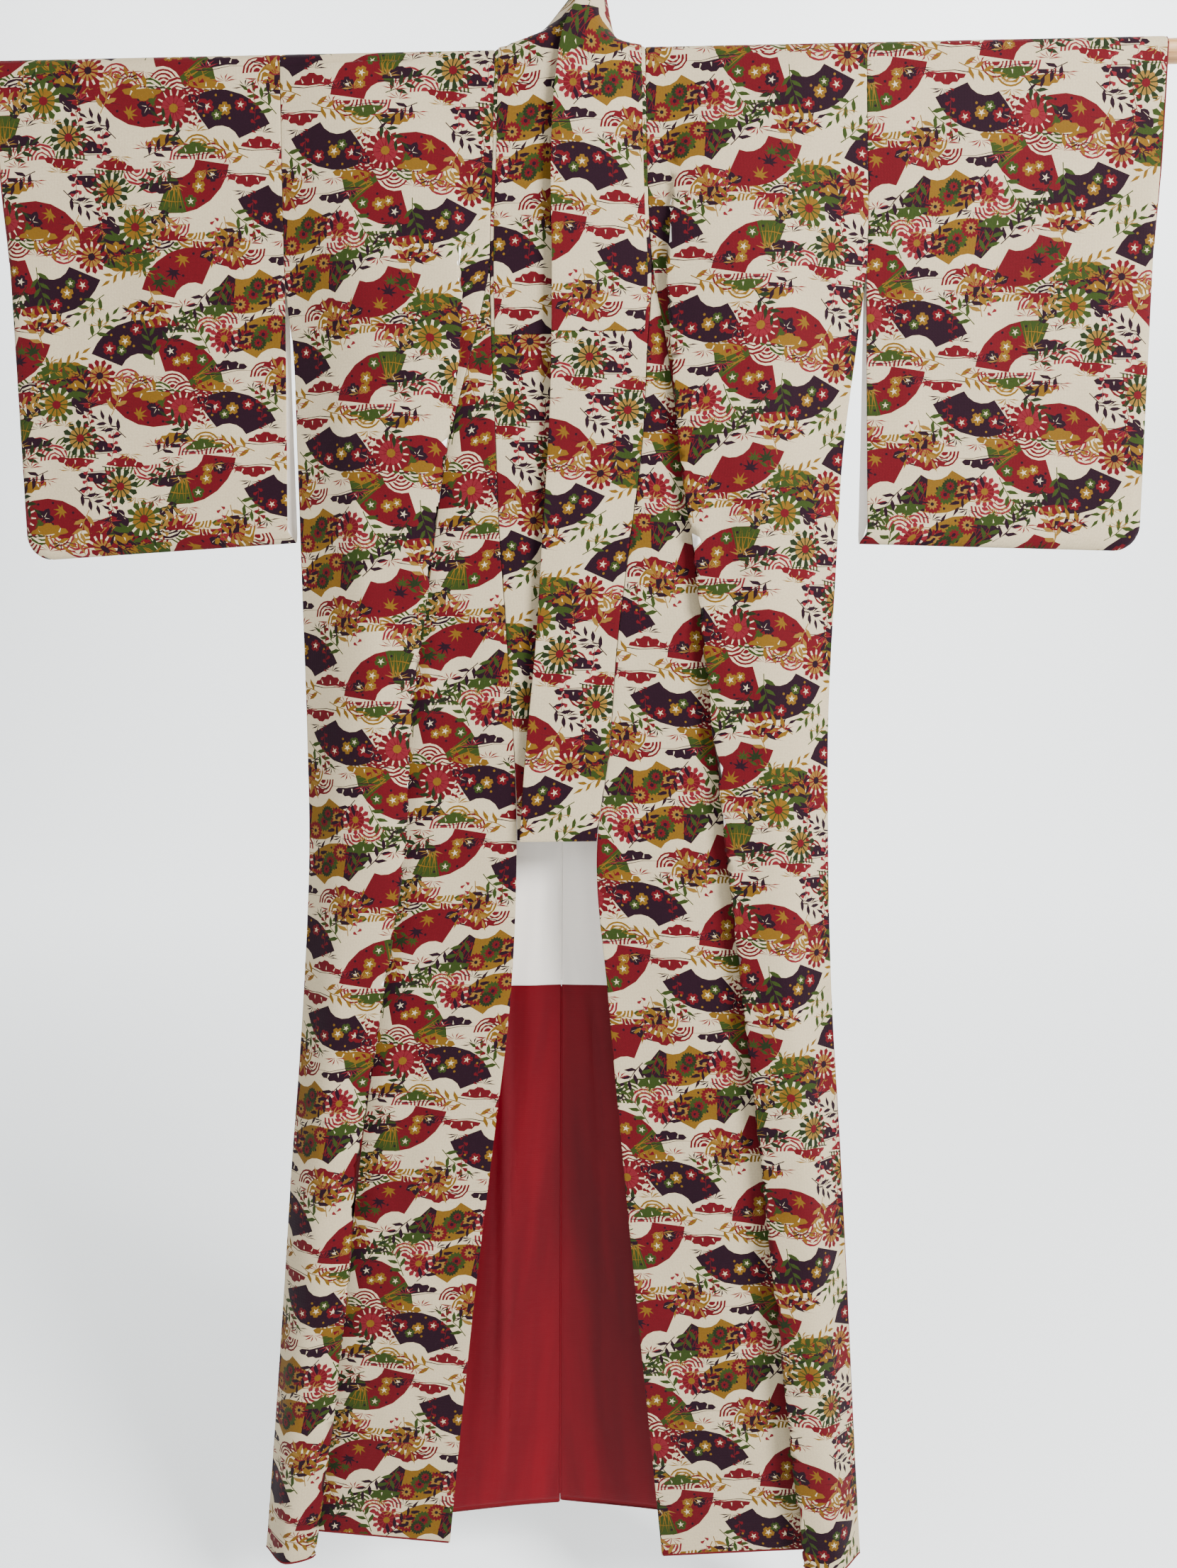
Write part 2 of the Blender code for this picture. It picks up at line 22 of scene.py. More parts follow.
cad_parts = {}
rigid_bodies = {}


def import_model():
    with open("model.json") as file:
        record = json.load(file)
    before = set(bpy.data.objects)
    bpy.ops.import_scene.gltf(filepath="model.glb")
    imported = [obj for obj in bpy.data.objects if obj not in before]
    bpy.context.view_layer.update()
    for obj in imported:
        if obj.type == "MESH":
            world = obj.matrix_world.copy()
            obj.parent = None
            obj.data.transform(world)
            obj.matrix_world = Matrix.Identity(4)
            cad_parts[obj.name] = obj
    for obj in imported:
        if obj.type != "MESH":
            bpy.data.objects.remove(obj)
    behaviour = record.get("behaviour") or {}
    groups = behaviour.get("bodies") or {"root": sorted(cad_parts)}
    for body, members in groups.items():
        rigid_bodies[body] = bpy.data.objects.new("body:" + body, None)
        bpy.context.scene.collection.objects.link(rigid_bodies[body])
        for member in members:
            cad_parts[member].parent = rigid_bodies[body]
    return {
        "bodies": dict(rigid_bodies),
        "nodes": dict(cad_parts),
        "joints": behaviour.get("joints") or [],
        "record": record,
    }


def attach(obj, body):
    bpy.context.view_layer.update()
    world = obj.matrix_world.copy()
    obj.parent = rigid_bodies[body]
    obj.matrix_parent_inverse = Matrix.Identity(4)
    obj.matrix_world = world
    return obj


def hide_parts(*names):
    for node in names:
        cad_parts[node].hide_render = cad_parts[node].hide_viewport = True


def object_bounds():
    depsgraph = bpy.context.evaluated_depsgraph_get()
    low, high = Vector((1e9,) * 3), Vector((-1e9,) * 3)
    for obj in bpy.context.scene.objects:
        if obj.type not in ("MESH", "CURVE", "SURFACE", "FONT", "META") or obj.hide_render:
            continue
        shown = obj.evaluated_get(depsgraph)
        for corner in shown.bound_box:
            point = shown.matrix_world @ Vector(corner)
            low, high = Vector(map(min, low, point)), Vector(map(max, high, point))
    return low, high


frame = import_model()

CAD_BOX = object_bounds()
LOG = logging.getLogger("kimono")

MM = 0.001
WALL = 1.6
LINING_WALL = 1.0
SEAM_GAP = 0.3
LAYER_LIFT = WALL / 2 + SEAM_GAP + LINING_WALL / 2

ROD_RADIUS = 12.0
ROD_LENGTH = 1330.0
ROD_Z = -172.0
SHOULDER_RADIUS = ROD_RADIUS + SEAM_GAP + WALL / 2
SHOULDER_Z = ROD_Z + SHOULDER_RADIUS
SHOULDER_ARC = SHOULDER_RADIUS * pi / 2

HEM = 1690.0
SLEEVE_SEWN = 235.0
SIDE_OPEN = 300.0
NECK_BACK = 22.0
OVERLAP_TOP = 235.0
COLLAR_FROM = 60.0
COLLAR_END = 853.0
OVER_COLLAR_END = 300.0
OVER_COLLAR_INSET = 0.08
LINING_SKIP = 3 / 13
LINING_TOP = 60.0
LINING_JOIN = 1034.0
LINING_HEM = 1684.0
STRETCH_FROM = 1000.0
BLEND_DEPTH = 120.0
SLEEVE_CORNER = 28.0
SLEEVE_ROUND = 14.0
SLEEVE_OUT = 627.0
SLEEVE_OUT_LOW = 621.0

# An edge rounds over within this share of the wall, and a row of points follows it this far in
EDGE_ROLL = 0.7
EDGE_HELD = 3.2
ROD_TURNS = np.linspace(0, pi / 2, 9)

REPEAT_WIDTH = 360.0
REPEAT_LENGTH = 320.0


class Body(NamedTuple):
    """The cut of one body length at a depth."""

    depth: float
    seam: float
    turn: float
    fold: float
    edge: float
    flat_y: float
    crest_y: float
    side_y: float
    back_y: float


RIGHT_BODY = [
    Body(0, 83, 118, 150, 314, -13.1, -13.1, -3, 13.1),
    Body(60, 85, 118, 142, 315, -13.4, -13.8, -3, 12.8),
    Body(120, 87, 119, 133, 316, -14.2, -16, -3, 12.4),
    Body(180, 90, 118, 130, 317, -15, -22, -3, 12),
    Body(235, 93, 130, 121, 317, -16, -29, -3, 11.6),
    Body(268, 100, 140, 119, 315, -16.7, -32, -3.4, 11.3),
    Body(300, 108, 150, 121, 312, -17.5, -34, -4, 11),
    Body(420, 140, 172, 137, 309, -20, -38, -8, 10.4),
    Body(560, 162, 200, 158, 307, -23.5, -42, -12, 9.8),
    Body(720, 186, 228, 181, 305, -27, -48, -16, 9.2),
    Body(853, 196, 244, 190, 305, -30, -52, -20, 8.6),
    Body(1034, 224, 270, 219, 316, -33, -57, -24, 8),
    Body(1200, 250, 292, 245, 331, -36, -61, -28, 6.5),
    Body(1380, 273, 314, 267, 347, -39, -65, -31, 5),
    Body(1540, 294, 334, 288, 362, -41, -68, -34, 3.5),
    Body(1690, 316, 354, 311, 377, -43, -71, -36, 2),
]

LEFT_BODY = [
    Body(0, 78, 108, 136, 312, -13.1, -13.1, -4, 13.1),
    Body(60, 78.5, 106, 124, 313, -13.6, -14.4, -4, 12.8),
    Body(120, 79.5, 106, 112, 315, -15, -19, -4, 12.4),
    Body(180, 81.5, 108, 104, 317, -16.5, -27, -4, 12),
    Body(235, 86, 121, 99, 316, -18.5, -32, -4, 11.6),
    Body(300, 98, 134, 103, 309, -21, -35, -6, 11),
    Body(420, 115, 150, 112, 294, -25, -41, -11, 10.4),
    Body(560, 133, 176, 130, 286, -29.5, -46, -16, 9.8),
    Body(720, 151, 200, 147, 279, -34, -53, -21, 9.2),
    Body(853, 165, 219, 162, 280, -38, -57, -24, 8.6),
    Body(1034, 186, 240, 183, 286, -40, -61, -27, 8),
    Body(1200, 206, 258, 202, 297, -42, -64, -30, 6.5),
    Body(1380, 226, 275, 221, 308, -44, -68, -32, 5),
    Body(1540, 242, 288, 238, 317, -45, -71, -34, 3.5),
    Body(1690, 260, 302, 256, 326, -46, -73, -36, 2),
]


class Centre(NamedTuple):
    """The centre back seam at a depth."""

    depth: float
    x: float
    y: float


CENTRE_SEAM = [
    Centre(0, -2.5, 13.1),
    Centre(300, -8, 16),
    Centre(600, -15, 22),
    Centre(853, -20, 27),
    Centre(1300, -26, 37),
    Centre(1690, -31, 46),
]


class Front(NamedTuple):
    """The front line at a depth: collar seam, then the free front edge."""

    depth: float
    out: float


RIGHT_FRONT = [
    Front(0, 83),
    Front(60, 85),
    Front(120, 87),
    Front(180, 90),
    Front(235, 91),
    Front(300, 90.5),
    Front(390, 87.5),
    Front(500, 84.5),
    Front(620, 77.5),
    Front(853, 68),
    Front(1034, 77),
    Front(1200, 98),
    Front(1400, 124),
    Front(1540, 140),
    Front(1690, 156),
]

LEFT_FRONT = [
    Front(0, 78),
    Front(60, 78.5),
    Front(120, 79.5),
    Front(180, 81.5),
    Front(235, 84),
    Front(320, 79),
    Front(423, 73),
    Front(521, 60),
    Front(634, 45.5),
    Front(760, 35),
    Front(853, 22),
    Front(1034, 33.5),
    Front(1217, 49),
    Front(1415, 67),
    Front(1540, 79),
    Front(1690, 93),
]


class SleeveRow(NamedTuple):
    """How far a sleeve's leaves swing out below the seam, and half the gap between them."""

    depth: float
    front_out: float
    back_out: float
    half: float


SLEEVE_ROWS = [
    SleeveRow(0, 0, 0, 13.1),
    SleeveRow(60, 0, 0, 12.3),
    SleeveRow(120, 0, 0, 10.8),
    SleeveRow(235, 0, 0, 8.4),
    SleeveRow(380, 2.5, -0.5, 7.2),
    SleeveRow(536, 6.0, -2.0, 6.4),
]


class CollarFront(NamedTuple):
    """The collar's free edge at a depth."""

    depth: float
    edge_x: float
    edge_y: float


RIGHT_COLLAR = [
    CollarFront(60, 17, -15.2),
    CollarFront(120, 16, -15.4),
    CollarFront(235, 14, -15.8),
    CollarFront(390, 16, -18.5),
    CollarFront(521, 16, -21.5),
    CollarFront(634, 18, -24.0),
    CollarFront(760, 19, -27.0),
    CollarFront(853, 20, -29.0),
]

LEFT_COLLAR = [
    CollarFront(60, -20, -27.5),
    CollarFront(120, -23, -28.0),
    CollarFront(235, -23, -29.5),
    CollarFront(390, -27, -32.5),
    CollarFront(521, -36, -35.5),
    CollarFront(634, -44, -38.0),
    CollarFront(760, -57, -40.5),
    CollarFront(853, -64, -42.0),
]


class Neck(NamedTuple):
    """One station of the collar round the neck, with heights above the shoulder line."""

    seam: tuple[float, float, float]
    middle: tuple[float, float, float]
    edge: tuple[float, float, float]


def on_shoulder(x: float, angle: float) -> tuple[float, float, float]:
    """Gives a point of the neck seam over the rod.

    Args:
        x: Its place across, in millimetres.
        angle: Degrees from the top of the rod towards the back.

    Returns:
        The point, with its height above the shoulder line.
    """
    radius = SHOULDER_RADIUS + SEAM_GAP / 2
    turn = radians(angle)
    return (x, radius * sin(turn), radius * cos(turn) - SHOULDER_RADIUS)


NECK_ROWS = [
    Neck((-83.1, -13.1, -22), (-33, -15.6, -14), (17.5, -15.1, -6)),
    Neck(on_shoulder(-82.7, -90), (-34, -15.6, -5), (17, -15.0, 4)),
    Neck(on_shoulder(-82.7, -60), (-36, -14.4, 3), (16, -14.5, 11)),
    Neck(on_shoulder(-82.7, -30), (-39, -11.8, 8), (13.5, -13.5, 18)),
    Neck(on_shoulder(-82.6, 0), (-41, -8, 11), (11, -12.0, 25)),
    Neck(on_shoulder(-82.5, 30), (-43, -3, 13), (8.5, -9.5, 33)),
    Neck(on_shoulder(-82.2, 60), (-44.5, 4, 13.5), (6, -6, 41)),
    Neck(on_shoulder(-81.6, 90), (-45.5, 10.5, 13), (3.5, -1, 49)),
    Neck((-75, 14.4, -20), (-43, 14.6, 14), (3, 6, 58)),
    Neck((-46, 14.4, -22.6), (-26, 16, 25), (9, 12, 71)),
    Neck((-2.5, 14.4, -23.8), (7, 17, 32), (20, 14.5, 82)),
    Neck((41, 14.4, -22.6), (38, 16.5, 20), (29, 11, 80)),
    Neck((70, 14.4, -20), (47.5, 14.6, 9), (29.5, 3, 72)),
    Neck(on_shoulder(76.6, 90), (49, 12.2, 9.5), (25, -5, 65)),
    Neck(on_shoulder(77.2, 60), (48.5, 6, 10), (16.5, -12, 59)),
    Neck(on_shoulder(77.5, 30), (47, -3, 8), (10, -17, 49)),
    Neck(on_shoulder(77.6, 0), (44, -9, 7), (3, -20.5, 38)),
    Neck(on_shoulder(77.7, -30), (41, -14.5, 3), (-3, -23, 26)),
    Neck(on_shoulder(77.7, -60), (37, -19, -3), (-8, -25, 14)),
    Neck(on_shoulder(77.7, -90), (34, -21.3, -10), (-11.5, -26, 2)),
    Neck((77.8, -13.1, -22), (33, -21.8, -20), (-14, -26.6, -14)),
]


class Crease(NamedTuple):
    """A soft trough or ridge pressed into the cloth between two places."""

    x0: float
    depth0: float
    x1: float
    depth1: float
    width: float
    height: float


# Heights are towards the viewer on every piece, so a trough seen from the front is negative
FRONT_CREASES = [
    Crease(-262, 330, -214, 820, 16, 2.4),
    Crease(-248, 760, -262, 1330, 20, -2.5),
    Crease(-318, 1180, -352, 1660, 15, 2.2),
    Crease(-120, 980, -232, 1600, 24, 2.1),
    Crease(-150, 420, -128, 900, 18, -1.5),
    Crease(150, 420, 196, 940, 17, -2.1),
    Crease(238, 380, 246, 900, 19, 2.0),
    Crease(90, 900, 172, 1560, 22, 2.2),
    Crease(122, 1080, 228, 1640, 18, -2.0),
    Crease(262, 1010, 296, 1630, 17, -1.8),
]

BACK_CREASES = [
    Crease(-92, 1040, -104, 1660, 6, 3.0),
    Crease(-118, 1100, -150, 1640, 16, -2.7),
    Crease(14, 1010, 22, 1660, 9, -2.2),
    Crease(-60, 620, -64, 1330, 15, 1.8),
    Crease(120, 500, 168, 1500, 24, 2.2),
    Crease(-190, 420, -236, 1560, 26, -2.4),
    Crease(232, 900, 262, 1600, 18, 2.0),
]

SLEEVE_CREASES = [
    Crease(-338, 60, -352, 470, 14, -1.1),
    Crease(-470, 90, -462, 500, 20, 1.1),
    Crease(-552, 240, -600, 500, 15, -1.0),
    Crease(-400, 300, -520, 430, 22, 0.9),
    Crease(345, 70, 360, 480, 15, 1.1),
    Crease(452, 120, 470, 510, 19, -1.2),
    Crease(560, 200, 596, 500, 16, 1.0),
    Crease(400, 420, 520, 330, 20, -0.8),
]


def ease(share: np.ndarray) -> np.ndarray:
    """Smooth step from 0 to 1."""
    share = np.clip(share, 0.0, 1.0)
    return share * share * (3 - 2 * share)


def through_rows(places: Sequence[float], values: Sequence, at: np.ndarray) -> np.ndarray:
    """Reads a cubic through the rows of a table, each row's slope taken from the rows beside it.

    Args:
        places: Where the rows stand, rising.
        values: One number or one row of numbers for each place.
        at: Where to read.

    Returns:
        The values there.
    """
    places = np.asarray(places, float)
    values = np.asarray(values, float)
    at = np.asarray(at, float)
    slopes = np.gradient(values, places, axis=0)
    k = np.clip(np.searchsorted(places, at) - 1, 0, len(places) - 2)
    span = places[k + 1] - places[k]
    t = np.clip((at - places[k]) / span, 0.0, 1.0)
    if values.ndim > 1:
        t = t[..., None]
        span = span[..., None]
    start = values[k] * (1 + 2 * t) * (1 - t) ** 2 + slopes[k] * span * t * (1 - t) ** 2
    end = values[k + 1] * t * t * (3 - 2 * t) + slopes[k + 1] * span * t * t * (t - 1)
    return start + end


def row_at(table: Sequence[NamedTuple], depth: float) -> NamedTuple:
    """Reads a table at a depth.

    Args:
        table: Rows whose first column is the depth.
        depth: Where to read.

    Returns:
        A row with the same columns.
    """
    values = through_rows([row[0] for row in table], [row[1:] for row in table], depth)
    return type(table[0])(depth, *values)


def curve_through(points: Sequence, steps: Sequence[int], fine: int) -> np.ndarray:
    """Draws a smooth curve through the given points.

    Args:
        points: The points.
        steps: The CAD's steps along each stretch, which set how far along each stretch lies.
        fine: How many times finer than the CAD to draw it.

    Returns:
        The points of the curve.
    """
    points = np.asarray(points, float)
    chord = np.sqrt(np.linalg.norm(np.diff(points, axis=0), axis=1))
    along = np.concatenate([[0.0], np.cumsum(np.maximum(chord, 1e-6))])
    marks = np.concatenate([[0], np.cumsum(steps)])
    at = np.interp(np.linspace(0, marks[-1], fine * marks[-1] + 1), marks, along)
    return through_rows(along, points, at)


def hem_drop(depth: np.ndarray, hem: np.ndarray) -> np.ndarray:
    """Depth after a panel's lower part is let down or drawn up to its own hem."""
    return depth + (hem - HEM) * ease((depth - STRETCH_FROM) / (HEM - STRETCH_FROM))


def down(depth: float) -> float:
    """How far along the cloth a depth lies, measured from the shoulder line over the rod."""
    return SHOULDER_ARC + depth - SHOULDER_RADIUS


def placed(out: np.ndarray, y: np.ndarray, depth: np.ndarray, side: int = 1) -> np.ndarray:
    """Points in the frame, in millimetres, from places out, y and depth."""
    out, y, depth = np.broadcast_arrays(out, y, depth)
    return np.stack([side * out, y, SHOULDER_Z - depth], axis=-1)


def rounded(share: np.ndarray) -> np.ndarray:
    """Height of a quarter round at a share of its width, from 0 at the edge to 1."""
    share = np.clip(share, 0.0, 1.0)
    return np.sqrt(1 - (1 - share) ** 2)


class Surface:
    """The middle of a cloth wall as a grid, read by millimetres across and along the cloth."""

    def __init__(
        self,
        curves: Sequence[np.ndarray],
        along: Sequence[float],
        outward: tuple[float, float, float],
        creases: Sequence[Crease] = (),
        columns: int = 121,
        face: int = 1,
        rod_rows: int = 0,
    ) -> None:
        """Lays evenly spaced columns on every row, then presses the creases in.

        Args:
            curves: Each row's points, from the side where the width is 0.
            along: How far along the cloth each row lies.
            outward: A direction on the printed side at the first columns of the middle row.
            creases: Troughs and ridges, with heights towards the viewer.
            columns: How many columns.
            face: 1 where the printed side faces the viewer, -1 where it faces away.
            rod_rows: How many first rows lie round over the rod.
        """
        self.along = np.asarray(along, float)
        self.columns = columns
        self.width = np.zeros(len(curves))
        self.points = np.zeros((len(curves), columns, 3))
        for j, curve in enumerate(curves):
            lengths = np.linalg.norm(np.diff(curve, axis=0), axis=1)
            reach = np.concatenate([[0.0], np.cumsum(lengths)])
            self.width[j] = reach[-1]
            even = np.linspace(0, reach[-1], columns)
            self.points[j] = np.stack([np.interp(even, reach, curve[:, k]) for k in range(3)], axis=1)
        self.turn = 1.0
        self.normals = self.facing(rod_rows)
        middle = self.normals[len(curves) // 2, : columns // 4].mean(axis=0)
        if np.dot(middle, outward) < 0:
            self.turn = -1.0
            self.normals = self.facing(rod_rows)
        if creases:
            self.points += self.normals * self.pressed(creases)[..., None] * face
            self.normals = self.facing(rod_rows)

    def facing(self, rod_rows: int) -> np.ndarray:
        """Works out the normals on the printed side.

        Args:
            rod_rows: How many first rows lie round over the rod, where the normal is known.

        Returns:
            A unit vector for each point.
        """
        across = np.gradient(self.points, axis=1)
        down = np.gradient(self.points, self.along, axis=0)
        normals = np.cross(across, down) * self.turn
        normals /= np.maximum(np.linalg.norm(normals, axis=2, keepdims=True), 1e-9)
        for j in range(rod_rows):
            spoke = self.points[j] - [0.0, 0.0, ROD_Z]
            spoke[:, 0] = 0.0
            normals[j] = spoke / np.linalg.norm(spoke, axis=1, keepdims=True)
        return normals

    def pressed(self, creases: Sequence[Crease]) -> np.ndarray:
        """Works out how far the creases lift each point.

        Args:
            creases: The troughs and ridges.

        Returns:
            Heights for the grid, in millimetres.
        """
        x = self.points[..., 0]
        depth = SHOULDER_Z - self.points[..., 2]
        lift = np.zeros(x.shape)
        for crease in creases:
            share = (depth - crease.depth0) / (crease.depth1 - crease.depth0)
            bend = 0.12 * (crease.x1 - crease.x0) + 5.0
            middle = crease.x0 + (crease.x1 - crease.x0) * share
            middle = middle + bend * np.sin(pi * np.clip(share, 0, 1))
            fade = ease(share * 4 + 0.3) * ease((1 - share) * 3 + 0.3)
            fade = fade * ease(share * 20 + 3) * ease((1 - share) * 20 + 3)
            lift += crease.height * fade * np.exp(-(((x - middle) / crease.width) ** 2))
        return lift

    def width_at(self, v: np.ndarray) -> np.ndarray:
        """Width of the cloth at places along it."""
        return np.interp(v, self.along, self.width)

    def read(self, u: np.ndarray, v: np.ndarray) -> tuple[np.ndarray, np.ndarray]:
        """Reads points and normals at places on the flat cloth.

        Args:
            u: Millimetres across.
            v: Millimetres along.

        Returns:
            The points and the unit normals.
        """
        row = np.interp(v, self.along, np.arange(len(self.along)))
        j = np.clip(row.astype(int), 0, len(self.along) - 2)
        t = (row - j)[:, None]
        column = np.clip(u / self.width_at(v), 0, 1) * (self.columns - 1)
        i = np.clip(column.astype(int), 0, self.columns - 2)
        s = (column - i)[:, None]
        found = []
        for grid in (self.points, self.normals):
            upper = grid[j, i] * (1 - s) + grid[j, i + 1] * s
            lower = grid[j + 1, i] * (1 - s) + grid[j + 1, i + 1] * s
            found.append(upper * (1 - t) + lower * t)
        return found[0], found[1] / np.linalg.norm(found[1], axis=1, keepdims=True)


def linear(code: str) -> tuple[float, float, float, float]:
    """Turns an sRGB hex code into the linear colour that the shaders take.

    Args:
        code: Six hex digits after a hash.

    Returns:
        Red, green, blue and alpha.
    """
    channels = [int(code[i : i + 2], 16) / 255 for i in (1, 3, 5)]
    made = [c / 12.92 if c <= 0.04045 else ((c + 0.055) / 1.055) ** 2.4 for c in channels]
    return (made[0], made[1], made[2], 1.0)


class Dye(Enum):
    """The dyes of the print, as sRGB hex codes."""

    GROUND = "#AC9D80"
    RED = "#4E040D"
    ROSE = "#5F131C"
    PLUM = "#18030F"
    GREEN = "#24310B"
    LEAF = "#141F09"
    GOLD = "#60430D"
    STRAW = "#6C4F1E"
    WHITE_LINING = "#EDE6DE"
    RED_LINING = "#5C010C"


DYES = list(Dye)


@dataclass(frozen=True)
class Spot:
    """Where a motif lies on the repeat: millimetres, degrees and a size."""

    x: float
    y: float
    turn: float = 0.0
    size: float = 1.0

    def put(self, points: Sequence) -> np.ndarray:
        """Moves a motif's points to this place.

        Args:
            points: The points, in the motif's own directions.

        Returns:
            The points on the repeat.
        """
        points = np.asarray(points, float) * self.size
        turn = radians(self.turn)
        c, s = cos(turn), sin(turn)
        return points @ np.array([[c, s], [-s, c]]) + [self.x, self.y]

    def on(self, x: float, y: float, turn: float = 0.0, size: float = 1.0) -> "Spot":
        """A place given in this one's own directions."""
        centre = self.put([(x, y)])[0]
        return Spot(centre[0], centre[1], self.turn + turn, self.size * size)


def ring(radius: float, count: int, start: float = 0.0, end: float = 360.0) -> np.ndarray:
    """Gives points on a circle or an arc.

    Args:
        radius: Its radius.
        count: How many points.
        start: Where it starts, in degrees.
        end: Where it ends.

    Returns:
        The points as (x, y).
    """
    closed = abs(end - start) >= 360
    turns = np.radians(np.linspace(start, end, count, endpoint=not closed))
    return np.stack([radius * np.cos(turns), radius * np.sin(turns)], axis=1)


class FanPaper(Enum):
    """What is painted on a fan: its ground, its flowers' dyes and its end band's dyes."""

    MAPLE = (Dye.RED, (Dye.LEAF, Dye.PLUM, Dye.GOLD, Dye.GREEN), None)
    NIGHT_BLOSSOM = (Dye.PLUM, (Dye.RED, Dye.GOLD, Dye.RED, Dye.GREEN), None)
    DAY_BLOSSOM = (Dye.RED, (Dye.PLUM, Dye.GOLD, Dye.GREEN, Dye.GOLD), (Dye.GREEN, Dye.GOLD))
    GOLD_FIELD = (Dye.GOLD, (Dye.RED, Dye.GREEN, Dye.RED, Dye.LEAF), (Dye.PLUM, Dye.RED))
    GREEN_FIELD = (Dye.GREEN, (Dye.RED, Dye.GOLD, Dye.RED, Dye.PLUM), (Dye.RED, Dye.STRAW))


class Repeat:
    """One repeat of the print: its motifs are charted on half of it, and turned for the rest."""

    def __init__(self, fine: bool = True) -> None:
        """Charts the motifs and cuts the repeat into coloured triangles.

        Args:
            fine: Whether the thinnest lines are drawn. The leaves at the back, seen from afar, go without.
        """
        self.fine = fine
        self.shapes: list[tuple[np.ndarray, Dye]] = []
        for half in (0, 1):
            first = len(self.shapes)
            self.chart()
            if half:
                size = np.array([REPEAT_WIDTH, REPEAT_LENGTH])
                turned = [(size - points, dye) for points, dye in self.shapes[first:]]
                self.shapes[first:] = turned
        self.shapes = self.in_layers()
        self.uv, self.tris, self.dyes = self.cut()

    def in_layers(self) -> list[tuple[np.ndarray, Dye]]:
        """Deals the two halves' motifs layer by layer, so that neither half covers the other.

        Returns:
            The shapes in the order in which they are painted.
        """
        half = len(self.shapes) // 2
        dealt = []
        for first, last in zip(self.layers[:-1], self.layers[1:]):
            dealt += self.shapes[first:last] + self.shapes[half + first : half + last]
        return dealt

    def paint(self, spot: Spot, points: Sequence, dye: Dye) -> None:
        """Adds one shape of one dye over those before it, its points turned anticlockwise.

        Args:
            spot: The motif's place.
            points: The shape's outline.
            dye: Its dye.
        """
        outline = spot.put(points)
        x, y = outline.T
        if (x * np.roll(y, -1) - y * np.roll(x, -1)).sum() < 0:
            outline = outline[::-1]
        self.shapes.append((outline, dye))

    def stroke(self, spot: Spot, points: Sequence, width: float, dye: Dye) -> None:
        """Adds a thin line that tapers to its end.

        Args:
            spot: The motif's place.
            points: The line's points.
            width: Its width at the start.
            dye: Its dye.
        """
        points = np.asarray(points, float)
        step = np.gradient(points, axis=0)
        side = np.stack([-step[:, 1], step[:, 0]], axis=1)
        side /= np.linalg.norm(side, axis=1, keepdims=True)
        half = np.linspace(width / 2, width / 8, len(points))[:, None]
        self.paint(spot, np.concatenate([points + side * half, (points - side * half)[::-1]]), dye)

    def wave(self, spot: Spot, dye: Dye) -> None:
        """Adds a wave scale: arcs inside one another over a small coloured eye.

        Args:
            spot: Its place.
            dye: The arcs' dye.
        """
        self.paint(spot, ring(17.0, 11, -8, 188), Dye.GROUND)
        for k in range(3 if self.fine else 1):
            outer = 16.4 - 4.0 * k
            self.paint(spot, ring(outer, 11 - k, -4, 184), dye)
            self.paint(spot, ring(outer - 2.0, 11 - k, -6, 186), Dye.GROUND)
        self.paint(spot, ring(4.4, 6, 0, 180), dye)

    def wave_bank(self, spot: Spot, rows: Sequence[tuple[float, float, int]], dyes: Sequence[Dye]) -> None:
        """Adds a bank of wave scales, the lower rows over the upper ones.

        Args:
            spot: The bank's place.
            rows: Each row's start, height and count of scales.
            dyes: The dyes in turn.
        """
        number = 0
        for start, height, count in rows:
            for k in range(count):
                self.wave(spot.on(start + 31.0 * k, height), dyes[number % len(dyes)])
                number += 1

    def blossom(self, spot: Spot, dye: Dye, heart: Dye) -> None:
        """Adds a five-petalled plum blossom with a heart and stamens, 15 mm across.

        Args:
            spot: Its place.
            dye: The petals' dye.
            heart: The heart's and stamens' dye.
        """
        turns = np.radians(np.arange(0, 360, 18.0))
        reach = 7.6 - 2.3 * (np.abs(np.sin(2.5 * turns)) < 0.5)
        self.paint(spot, np.stack([reach * np.cos(turns), reach * np.sin(turns)], axis=1), dye)
        for k in range(5 if self.fine else 0):
            turn = radians(72 * k + 36)
            line = [(1.2 * cos(turn), 1.2 * sin(turn)), (4.4 * cos(turn), 4.4 * sin(turn))]
            self.stroke(spot, line, 0.9, heart)
        self.paint(spot, ring(1.5, 6), heart)

    def maple(self, spot: Spot, dye: Dye) -> None:
        """Adds a seven-pointed maple leaf on a short stalk, 24 mm across.

        Args:
            spot: Its place.
            dye: Its dye.
        """
        points = []
        for k, length in enumerate((8.0, 11.0, 12.5, 13.5, 12.5, 11.0, 8.0)):
            turn = radians(-30 + 40 * k)
            points.append((length * cos(turn), length * sin(turn)))
            between = turn + radians(20)
            if k < 6:
                points.append((4.6 * cos(between), 4.6 * sin(between)))
        points.append((0.8, -2.0))
        self.paint(spot, points, dye)
        self.stroke(spot, [(0.2, -1), (1.2, -5), (0.6, -9)], 1.0, dye)

